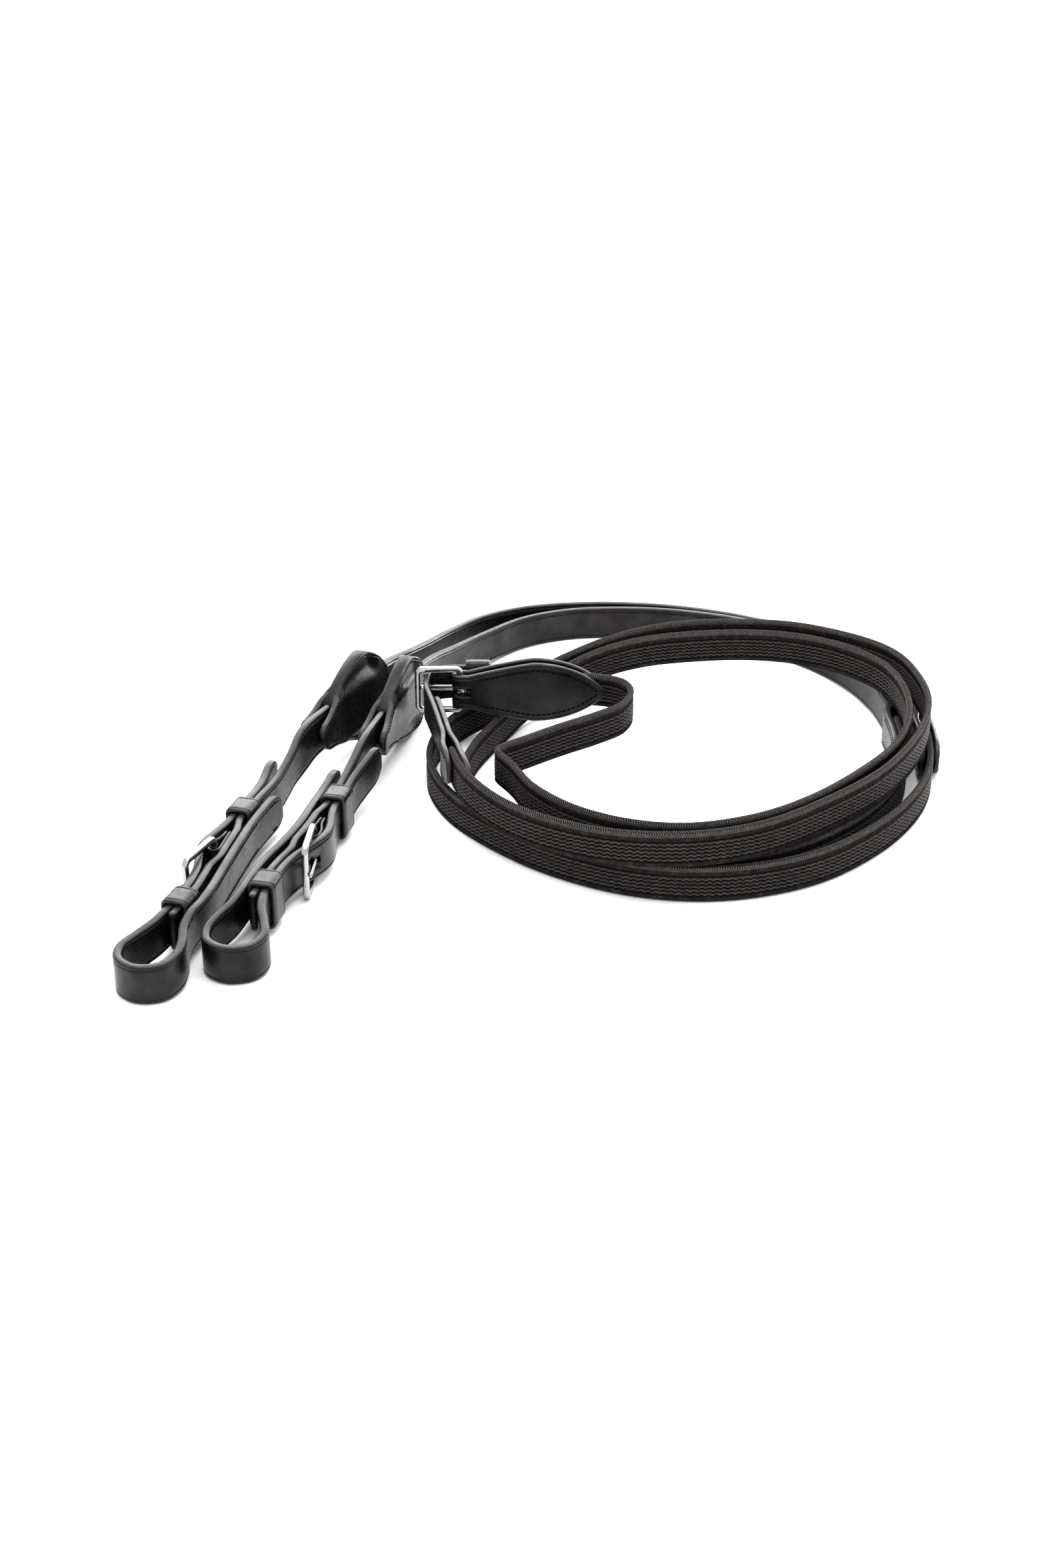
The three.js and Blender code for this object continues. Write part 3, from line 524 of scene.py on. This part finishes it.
def make_leather(name, dull, shine):
    """Black bridle leather: fine grain, a satin face and a matte cut edge, paler than the face partly in
    its own tone and partly as a painted highlight. Its shine varies from dull to shine in broad patches."""
    m = Shader(name)
    place = m.place()
    inset = m.strap()[1]
    edge = m.spread(inset, 1, 0, 0.3, 0.85)
    broad, rub = m.noise(place, 70, 4), m.noise(place, 500, 5, 0.65)
    grain, fibre = m.noise(place, 1500, 4, 0.65), m.noise(place, 900, 5, 0.7)
    dark, usual, pale = (0.0024, 0.0020, 0.0018), (0.0036, 0.0031, 0.0029), (0.0052, 0.0045, 0.0042)
    face = m.ramp(broad, (0.3, dark), (0.55, usual), (0.75, pale))
    # The cut edges' colour is paler than the face partly as a painted highlight on the edges, which
    # stands in for light from above.
    cut = m.ramp(fibre, (0.3, (0.005, 0.0045, 0.0043)), (0.7, (0.021, 0.0195, 0.0188)))
    m.set("Base Color", m.blend(edge, face, cut))
    satin = m.spread(rub, 0.24, 0.34, 0.3, 0.7)
    m.set("Roughness", m.plus(satin, m.times(edge, 0.08)))
    gleam = m.spread(broad, dull, shine, 0.35, 0.65)
    m.set("Specular IOR Level", m.plus(gleam, m.times(edge, 0.06)))
    m.set("Specular Tint", (1, 0.955, 0.94))
    m.bump(m.plus(grain, m.times(m.cells(place, 1300), 0.7)), 0.4, 0.00012)
    return m.material


def make_web():
    """Woven web: near-black painted shade in its recesses, its threads where it stands out, pale flecks
    along its top edge that are partly a painted highlight on the strand crests, with rubber in the
    middle of its faces."""
    lay_pitch, weft_pitch, pick_pitch = 0.98, 0.49, 0.55
    m = Shader("grip_webbing")
    place = m.place()
    along, across, out = m.strap()
    # Mask: 0 deep in the section's recesses, where the painted shade goes, 1 where the web stands out.
    proud = m.spread(m.calc("ABSOLUTE", out), 0, 1, 0.84, 1.3)
    upper = m.spread(across, 0, 1, 5.4, 5.8)
    woven = m.spread(m.calc("ABSOLUTE", m.plus(across, 1.0)), 0, 1, 4.35, 4.6)
    slant = m.plus(m.times(along, 1 / lay_pitch), m.times(across, 0.62))
    lay = m.wave(m.times(m.plus(slant, m.times(out, 0.9)), 2 * math.pi))
    weft = m.wave(m.times(along, 2 * math.pi / weft_pitch))
    pick = m.wave(m.times(across, 2 * math.pi / pick_pitch))
    fuzz, tone = m.noise(place, 2200, 3, 0.7), m.noise(place, 420, 4, 0.65)
    dark, usual, pale = (0.013, 0.0113, 0.0105), (0.030, 0.0264, 0.0247), (0.070, 0.063, 0.060)
    thread = m.ramp(tone, (0.3, dark), (0.55, usual), (0.75, pale))
    rubber = m.ramp(tone, (0.3, (0.018, 0.0160, 0.0150)), (0.75, (0.056, 0.0500, 0.0475)))
    # Painted shade: the near-black colour of the recesses between the rows and bands.
    recess_shade = (0.0008, 0.0007, 0.0007)
    body = m.blend(proud, recess_shade, m.blend(woven, rubber, thread))
    # Pale flecks along the top edge, partly a painted highlight: brightest where the twisted strands
    # stand highest, and only on the edge that faces up.
    fleck_and_highlight = m.times(upper, m.spread(lay, 0, 1, 0.35, 0.95))
    fleck_and_highlight = m.times(fleck_and_highlight, m.spread(fuzz, 0.2, 1, 0.35, 0.6))
    m.set("Base Color", m.blend(fleck_and_highlight, body, (0.17, 0.158, 0.152)))
    m.set("Roughness", m.spread(woven, 0.5, 0.85))
    m.set("Specular IOR Level", m.spread(woven, 0.06, 0.025))
    m.set("Specular Tint", (1, 0.94, 0.92))
    ribs = m.times(m.times(weft, pick), woven)
    twist = m.times(m.times(lay, upper), 1.6)
    m.bump(m.plus(m.plus(ribs, twist), fuzz), 0.7, 0.00018)
    return m.material


def make_metal():
    m = Shader("polished_buckle")
    place = m.place()
    haze = m.noise(place, 300, 4, 0.6)
    m.set("Base Color", m.ramp(haze, (0.3, (0.29, 0.29, 0.295)), (0.7, (0.38, 0.38, 0.385))))
    m.set("Metallic", 1)
    m.set("Roughness", m.spread(haze, 0.10, 0.24, 0.3, 0.7))
    m.bump(m.noise(place, 2500, 2, 0.5), 0.06, 0.00005)
    return m.material


def make_thread():
    m = Shader("waxed_thread")
    fibre = m.noise(m.place(), 2600, 3, 0.6)
    dark, pale = (0.0012, 0.0011, 0.0011), (0.004, 0.0037, 0.0035)
    m.set("Base Color", m.ramp(fibre, (0.3, dark), (0.8, pale)))
    m.set("Roughness", 0.75)
    m.set("Specular IOR Level", 0.04)
    m.bump(fibre, 0.4, 0.00008)
    return m.material


LEATHER = make_leather("bridle_leather", 0.13, 0.26)
STOP_LEATHER = make_leather("stop_leather", 0.06, 0.12)
WEB, METAL, THREAD = make_web(), make_metal(), make_thread()


# ---- grip web ----
WAVE, ROW_GAP, ROWS, ROW_BASE = 2.95, 1.65, 5, -4.3


def web_rings(s, ease):
    """Web sections: a ribbed band along each edge, a rolled top edge, wavy rubber rows between."""
    n = len(s)
    one = np.ones(n)
    arch = 2 * abs(np.sin(math.pi * s / WAVE)) - 1.2
    rib = np.where(np.arange(n) % 2 == 0, 0.11, -0.11)
    side = [(1.12 + rib, -7.3 * one), (1.12 + rib, -5.75 * one)]
    for k in range(ROWS):
        z = ROW_BASE + ROW_GAP * k + 0.36 * arch
        side += [(0.58 * one, z - 0.78), (1.34 * one, z - 0.14), (1.24 * one, z + 0.34)]
    side += [(0.56 * one, 3.4 * one), (1.08 + rib, 3.8 * one), (1.08 + rib, 5.35 * one)]
    side += [(1.34 + 0.4 * rib, 6.1 * one), (1.36 - 0.4 * rib, 7.0 * one)]
    side.append((0.86 + 0.3 * rib, 7.62 * one))
    back = [(-a, b) for a, b in reversed(side)]
    ring = [(0 * one, -7.72 * one)] + side + [(0 * one, 7.78 - 0.25 * rib)] + back
    rings = np.stack([np.stack([a, b], -1) for a, b in ring], 1)
    rings[..., 0] *= ease[:, None]
    return rings


def grip_web(name, route, s0, s1):
    s = np.arange(s0, s1, WAVE / 6)
    s[-1] = s1
    ease = 0.6 + 0.4 * np.clip(np.minimum(s - s0, s1 - s) / 0.8, 0, 1)
    return dress(sweep(name, route, s, web_rings(s, ease), 75), WEB, "reins", [name])


# ---- bit ends ----
def bit_end(name, route, turn, tips):
    """The billet that folds back through the buckle, the buckle, its chape and the keepers."""
    sewn_off = -turn * (STRAP_T / 2 + SEWN_GAP + BILLET_T / 2)
    pts = [route.at(s, sewn_off) for s in np.linspace(tips[1], 5, 13)]
    pts += [route.at(s, turn * off, up) for s, off, up in LOOP]
    for s in np.linspace(UPPER_KEEPER_S, tips[0], 6):
        splay = 3.4 * smooth(s, UPPER_KEEPER_S + 12, tips[0])
        pts.append(route.at(s, turn * (STRAP_T / 2 + GAP + BILLET_T / 2 + splay)))
    loop = Route(pts, 1)
    width = lambda s: np.minimum(pointed(s, 0, 9, STRAP_W), pointed(s, loop.length, 9, STRAP_W))
    billet = leather(f"{name}_bit_billet", loop, 0, loop.length, width, BILLET_T)

    hinge = route.at(BIT_HINGE_S, turn * BIT_HINGE_OFF)
    along, side = route.flat(BIT_HINGE_S), route.side(BIT_HINGE_S) * turn
    local = lambda u, v: hinge + along * u + side * v
    outer = local(BIT_BAR_S - BIT_HINGE_S, BIT_BAR_OFF - BIT_HINGE_OFF)
    span = np.linalg.norm(outer - hinge)
    reach = (outer - hinge) / span
    middle = (hinge + outer) / 2
    buckle_frame(f"{name}_bit_buckle_frame", middle, reach, span, FRAME_HALF_H, f"{name}_frame")

    tilt = math.atan2(reach @ side, reach @ along)
    leave = tilt - math.pi / 2 - 0.06
    eye = [leave - math.pi * 1.5 * (1 - k / 9) for k in range(10)]
    hook = [local(math.cos(a) * 2.15, math.sin(a) * 2.15) for a in eye]
    rest = WIRE / 2 + 0.3 + PRONG_T / 2
    sign = 1 if math.cos(tilt) > 0 else -1
    u = math.cos(tilt) * (span + 1.6) - sign * math.sin(tilt) * rest
    v = math.sin(tilt) * (span + 1.6) + sign * math.cos(tilt) * rest
    start, tip = hook[-1], local(u, v)
    hook += [start + (tip - start) * t for t in (0.33, 0.66, 1)]
    prong(f"{name}_bit_buckle_prong", Route(hook, 1), f"{name}_prong")

    wrap = 2.3
    fold = [(14, -wrap), (9, -wrap), (4, -wrap)]
    fold += [(math.cos(a) * wrap, math.sin(a) * wrap) for a in -math.pi / 2 - np.arange(9) * math.pi / 8]
    fold += [(4, 1.7), (9, -0.2), (14, -0.9)]
    around = Route([local(*p) for p in fold], 1)
    even = lambda s: STRAP_W - 2 + 0 * s
    node = f"{name}_bit_buckle_chape"
    chape = leather(f"{name}_chape", around, 0, around.length, even, 1.3, step=0.5, node=node)
    carve(chape, (local(-0.65, 0), along, 7.7, 9, PRONG_H + 1.2))
    reach_in = np.linalg.norm(tip - start)
    hole = reach_in * 1.04, PRONG_T + 2, PRONG_H + 0.6
    carve(billet, ((start + tip) / 2, (tip - start) / reach_in, *hole))

    stack = STRAP_T + GAP + BILLET_T
    lower, upper = ("lower", LOWER_KEEPER_S, "reins"), ("upper", UPPER_KEEPER_S, f"{name}_runner")
    for part, s, body in (lower, upper):
        centre = route.at(s, turn * (GAP + BILLET_T) / 2)
        size = stack + KEEPER_WALL + 0.7, STRAP_W + KEEPER_WALL + 0.8, KEEPER_LEN
        keeper(f"{name}_keeper_{part}", centre, route.side(s), route.flat(s), *size, body)

    off = -turn * (STRAP_T / 2 + SEWN_GAP + BILLET_T + PROUD)
    s = np.arange(24.0, tips[1] - 7, 0.5)
    s = s[(s < UPPER_KEEPER_S - 7.5) | (s > UPPER_KEEPER_S + 7.5)]
    low, high = s[s < UPPER_KEEPER_S], s[s > UPPER_KEEPER_S]
    heights = (-STITCH_ROW_H, STITCH_ROW_H)
    rows = [face_row(route, part, h, off) for part in (low, high) for h in heights]
    stitches(f"{name}_billet_stitches", rows, "reins", [f"{name}_billet_thread"])


LOOP = [
    (-4, -6.9, -1.1), (-12, -9.9, -2.5), (-20, -LOOP_R, -3.4), (-27.5, -8.2, -3.9), (-31, 0, -4),
    (-27.5, 8.2, -3.9), (-20, LOOP_R, -3.4), (-12, 8.6, -2.5), (-5, 5.4, -1.1), (1, 4, -0.2),
    (7, 3.65, 0), (16, 3.65, 0), (25, 3.65, 0), (32, 3.8, 0), (38, 4.4, 0), (46, 6.2, 0),
    (52, 7.6, 0), (58, 7.8, 0), (64, 6.6, 0), (71, 4.8, 0), (78, 3.75, 0),
]


def buckle_frame(name, mid, reach, span, half_h, body):
    """A rounded rectangle of wire, its long way level and its sides upright."""
    pts, out = fine(*rounded_path(span, 2 * half_h - WIRE, 2.4, 9), 1.2)
    path = mid + pts[:, :1] * reach + pts[:, 1:] * UP
    outward = out[:, :1] * reach + out[:, 1:] * UP
    wire = superellipse(WIRE / 2 + 0.1, WIRE / 2 + 0.1, 3.2, 24)
    hoop = band(name, path, outward, np.cross(UP, reach), wire, 60)
    return dress(hoop, METAL, body, [name])


def prong(name, route, body):
    s = runs(0, route.length, 0.5, 0.6)
    section = superellipse(PRONG_T / 2, PRONG_H / 2, 2.4, 16)
    taper = 1 - 0.28 * smooth(s, route.length - 9, route.length)
    e = ends(s, 0.9, 0.35)
    rings = section[None] * np.stack([e, taper * e], -1)[:, None]
    return dress(sweep(name, route, s, rings, 60), METAL, body, [name])


def keeper(name, centre, across, along, w, h, length, body):
    """A leather band round a strap; w and h are measured to the middle of its wall."""
    pts, out = fine(*rounded_path(w, h, 1.9, 7), 1.2)
    path = centre + pts[:, :1] * across + pts[:, 1:] * UP
    outward = out[:, :1] * across + out[:, 1:] * UP
    section = leather_rings([length / 2], [KEEPER_WALL / 2], 0.2, 5, 1.5)[0]
    return dress(band(name, path, outward, along, section), LEATHER, body, [name])


# ---- stops ----
def stop_height(u):
    leaf = 11 + (2 * STOP_HALF_H - 11) * smooth(u, 0, 0.8)
    far_end = np.sqrt(np.clip(1 - (np.maximum(u - 0.74, 0) / 0.26) ** 2, 0, 1))
    near_end = np.sqrt(1 - (1 - np.clip(u / 0.07, 0, 1)) ** 2)
    return leaf * (0.10 + 0.90 * far_end) * (0.35 + 0.65 * near_end)


def leaning(s, s0, lean):
    """How far the top of a stop, and of the strap in it, lean to the left."""
    return lean * smooth(s, s0 - 24, s0 - 6) * (1 - smooth(s, s0 + STOP_LEN + 9, s0 + STOP_LEN + 30))


def stop(name, route, s0, lean):
    """Two cupped leather layers, stitched to each other above and below the strap."""

    def cup(sign, grow=0.0):
        def offset(s, h):
            u = (s - s0) / STOP_LEN
            clear = STRAP_T / 2 + GAP + 0.2 + STOP_T / 2
            shut = STOP_T / 2 + 0.02
            splay = (0.3 if sign > 0 else 2.4) * (1 - smooth(u, 0, 0.35))
            rim = smooth(abs(h), STRAP_W / 2 + 0.6, STRAP_W / 2 + 4) * (1 - smooth(u, 0.78, 0.9))
            return sign * (clear + (shut - clear) * rim + splay + grow) + h * leaning(s, s0, lean)

        return offset

    width = lambda s: stop_height((s - s0) / STOP_LEN)
    for part, sign in (("outer", 1), ("inner", -1)):
        node = f"{name}_stop_{part}"
        shape = {"offset": cup(sign), "step": 1.0, "mids": 17, "body": f"{name}_stop"}
        layer = leather(node, route, s0, s0 + STOP_LEN, width, STOP_T, **shape)
        layer.data.materials[0] = STOP_LEATHER
    u = np.linspace(0.1, 0.955, 145)
    h = stop_height(u) / 2 - 2.5
    s = s0 + np.r_[u, u[::-1]] * STOP_LEN
    h = np.r_[h, -h[::-1]]
    rows = [face_row(route, s, h, cup(sign, STOP_T / 2 + 0.03)) for sign in (1, -1)]
    stitches(f"{name}_stop_stitches", rows, f"{name}_stop", [f"{name}_stop_thread"])
    for part, up in (("upper", 1), ("lower", -1)):
        welt(f"{name}_stop_{part}_rim", route, s0, up, cup, f"{name}_stop")


def welt(name, route, s0, up, cup, body):
    """The dressed edge where a stop's two layers meet: one smooth, rounded band."""
    u = np.linspace(0.27, 0.9, 60)
    s = s0 + u * STOP_LEN
    h = up * (stop_height(u) / 2 - 1.5)
    a, b = cup(1, STOP_T / 2)(s, h), cup(-1, STOP_T / 2)(s, h)
    ends_in = np.sqrt(np.clip(1 - abs((u - 0.585) / 0.317) ** 6, 0.02, 1))
    ring = superellipse(1.0, 1.0, 2.6, 20)
    rings = np.empty((len(u), 20, 2))
    middle, half = ((a + b) / 2)[:, None], ((a - b) / 2 + 0.12)[:, None]
    rings[..., 0] = middle + ring[None, :, 0] * half * (0.4 + 0.6 * ends_in)[:, None]
    rings[..., 1] = h[:, None] + ring[None, :, 1] * 1.75 * ends_in[:, None]
    dress(sweep(name, route, s, rings, mark=0.75), STOP_LEATHER, body)


# ---- rein straps and splices ----
def splice(name, route, s0, turn, stop0, lean):
    """The rein strap, and the overlay that covers its join with the web. Returns the web's start."""
    step_in = -(WEB_T / 2 + GAP + STRAP_T / 2)

    def inward(s, h=0):
        bow = turn * BUCKLE_BOW * smooth(s, 38, 49) * (1 - smooth(s, 69, 80))
        return step_in * smooth(s, s0, s0 + 14) - bow + h * leaning(s, stop0, lean)

    tip = s0 + SPLICE_LEN
    width = lambda s: np.where(s > tip - 10, pointed(s, tip, 10, STRAP_W), STRAP_W)
    leather(f"{name}_rein_strap", route, 0, tip, width, STRAP_T, inward)
    o0, o1 = s0 - 6, tip - 3
    both = lambda s: np.minimum(pointed(s, o0, 9, STRAP_W), pointed(s, o1, 10, STRAP_W))
    outward = WEB_T / 2 + GAP + LAYER_T / 2 + 0.2
    leather(f"{name}_splice_overlay", route, o0, o1, both, LAYER_T, lambda s, h: outward)
    s = np.arange(o0 + 5, o1 - 5, 0.5)
    t = np.arange(s0 + 16, tip - 5, 0.5)
    front = edge_rows(route, s, both, outward + LAYER_T / 2 + PROUD)
    back = edge_rows(route, t, width, inward(t) - STRAP_T / 2 - PROUD)
    rows = [front[0], back[0], front[1], back[1]]
    stitches(f"{name}_splice_stitches", rows, "reins", [f"{name}_splice_thread"])
    return s0 + 17


left = Route(LEFT_LEATHER + LEFT_WEB + LEFT_HAND)
right = Route(RIGHT_LEATHER + RIGHT_WEB + RIGHT_HAND)

left_stop, right_stop = left.station(8) + 2, right.station(8) + 5
left_web_start = splice("left", left, left.station(26) - 12, 1, left_stop, STOP_LEAN)
left_hand = left.station(len(LEFT_LEATHER) + len(LEFT_WEB))
left_web_end = left_hand - 18
left_web = grip_web("left_grip_web", left, left_web_start, left_web_end)
right_web_start = splice("right", right, right.station(26) - 16, -1, right_stop, 0)
right_web = grip_web("right_grip_web", right, right_web_start, right.length)

bit_end("left", left, 1, (132, 107))
bit_end("right", right, -1, (127, 110))
stop("left", left, left_stop, STOP_LEAN)
stop("right", right, right_stop, 0)


def declare(route, s0, s1):
    """Samples points along a web's route, in metres, and keeps none of them."""
    s = np.linspace(s0, s1, int((s1 - s0) / 5))
    path = (route.point(s) * MM).tolist()


declare(left, left_web_start, left_web_end)
declare(right, right_web_start, right.length)


# ---- hand end of the left rein ----
def hand_billet():
    tip0, facing0 = left_web_end - 10, left_web_end - 20
    facing1, end = left_hand + 33, left.length
    on_web = lambda s: smooth(-s, -left_web_end - 16, -left_web_end - 2)
    apart = lambda s: (LAYER_T + GAP) / 2 + (WEB_T / 2 + GAP / 2) * on_web(s)
    outer = lambda s, h=0: apart(s) * (1 - smooth(s, left_hand + 36, left_hand + 47))
    inner = lambda s, h=0: -apart(s)
    width = lambda s: np.minimum(pointed(s, tip0, 11, STRAP_W), pointed(s, end, 9, STRAP_W))
    billet = leather("left_hand_billet", left, tip0, end, width, LAYER_T, outer, step=1.0)
    hole = np.array([-58, HAND_PRONG_Y, HAND_Z * 1000])
    carve(billet, (hole, X, 16, PRONG_T + 2, PRONG_H + 0.6))
    cover = lambda s: np.minimum(pointed(s, facing0, 11, STRAP_W), pointed(s, facing1, 8, STRAP_W))
    leather("left_hand_facing", left, facing0, facing1, cover, LAYER_T, inner, step=1.0)
    s = np.arange(tip0 + 5, left_hand + 26, 0.5)
    t = np.arange(facing0 + 5, facing1 - 4, 0.5)
    front = edge_rows(left, s, width, outer(s) + LAYER_T / 2 + PROUD)
    back = edge_rows(left, t, cover, inner(t) - LAYER_T / 2 - PROUD)
    stitches("left_hand_stitches", [front[0], back[0], front[1], back[1]], "reins")


hand_billet()


# ---- hand buckle and tab ----
def hand_end():
    z = HAND_Z * 1000
    hinge, far = np.array([*HAND_HINGE, z]), np.array([*HAND_BAR, z])
    span = np.linalg.norm(far - hinge)
    middle = (hinge + far) / 2
    buckle_frame("hand_buckle_frame", middle, -X, span, HAND_FRAME_HALF_H, "hand_frame")
    angles = [math.pi * (1.5 * k / 9 - 0.98) for k in range(10)]
    hook = [hinge + 2.15 * np.array([math.cos(a), math.sin(a), 0]) for a in angles]
    start, tip = hook[-1], np.array([far[0] - 1.6, HAND_PRONG_Y, z])
    hook += [start + (tip - start) * t for t in (0.33, 0.66, 1)]
    prong("hand_buckle_prong", Route(hook, 1), "hand_prong")

    half = WEB_T / 2 + GAP + LAYER_T / 2
    flat = [TAB_END, 12, 0, -12, -24, -36, -41]
    bend = -math.pi / 2 - np.arange(9) * math.pi / 8
    line = [(x, -half) for x in flat]
    line += [(hinge[0] + math.cos(a) * half, math.sin(a) * half) for a in bend]
    line += [(x, half) for x in reversed(flat)]
    route = Route([(x, hinge[1] + y, z) for x, y in line], 1)

    def height(x):
        neck = TAB_H - 12 * (np.maximum(TAB_WIDEST - x, 0) / 29) ** 1.2
        t = np.clip((x - TAB_WIDEST) / (TAB_TIP - TAB_WIDEST), 0, 1)
        return np.where(x < TAB_WIDEST, np.maximum(STRAP_W, neck), TAB_H * (1 - t * t) ** 0.75)

    width = lambda s: height(route.point(s)[..., 0])
    short = TAB_END - TAB_TIP + 0.35
    whole = short, route.length - short
    tab = leather("right_hand_tab", route, *whole, width, LAYER_T, step=0.8, mids=7)
    carve(tab, (np.array([-45.75, hinge[1], z]), X, 9.5, 9, PRONG_H + 1.4))
    x = np.linspace(-37, TAB_TIP - 4.2, 90)
    inset = height(x) / 2 - 3.2 * np.hypot(1, np.gradient(height(x) / 2, x))
    x, k = np.r_[x, x[::-1]], np.r_[inset, -inset[::-1]]
    rows = []
    for sign in (-1, 1):
        y = hinge[1] + sign * (half + LAYER_T / 2 + PROUD)
        rows.append((np.stack([x, y + 0 * x, z + k], -1), np.stack([0 * x, sign + 0 * x, 0 * x], -1)))
    stitches("right_tab_stitches", rows, "reins", ["right_tab_thread"], 2.3, 2.2, 0.45)
    centre = np.array([-38, 51.8, z])
    size = LAYER_T + 1.1 + KEEPER_WALL, STRAP_W + 1.2 + KEEPER_WALL, 11
    keeper("hand_keeper", centre, np.array([0.0, -1, 0]), -X, *size, "reins")


hand_end()


# ---- floor and light ----
def area(name, place, aim, size, power, size_y=None):
    data = bpy.data.lights.new(name, "AREA")
    data.energy, data.size = power, size
    if size_y:
        data.shape, data.size_y = "RECTANGLE", size_y
    lamp = bpy.data.objects.new(name, data)
    lamp.location = place
    lamp.rotation_euler = (Vector(aim) - Vector(place)).to_track_quat("-Z", "Y").to_euler()
    bpy.context.scene.collection.objects.link(lamp)


def studio():
    side, near, far = 9000, -4000, 9000
    corners = [(-side, near, 0), (side, near, 0), (side, far, 0), (-side, far, 0)]
    floor = new_mesh("floor", corners, [(0, 1, 2, 3)])
    pale = Shader("pale_floor")
    pale.set("Base Color", (0.9, 0.9, 0.9))
    pale.set("Roughness", 0.8)
    pale.set("Specular IOR Level", 0.1)
    floor.data.materials.append(pale.material)
    world = bpy.data.worlds.new("studio")
    world.use_nodes = True
    world.node_tree.nodes["Background"].inputs["Color"].default_value = (1, 1, 1, 1)
    world.node_tree.nodes["Background"].inputs["Strength"].default_value = 1.6
    bpy.context.scene.world = world
    area("overhead", (0, 0.15, 1.15), (0, 0.15, 0), 0.9, 16)
    area("back_panel", (0.1, 1.8, 0.95), (0, 0, 0), 2.2, 38, 0.8)
    area("low_strip", (0.75, 0.95, 0.16), (-0.1, 0, 0.02), 0.55, 12, 0.3)
    area("back_floor", (0, 2.2, 1.6), (0, 2.0, 0), 3.5, 55, 2.2)
    bpy.context.scene.view_settings.view_transform = "Standard"


studio()
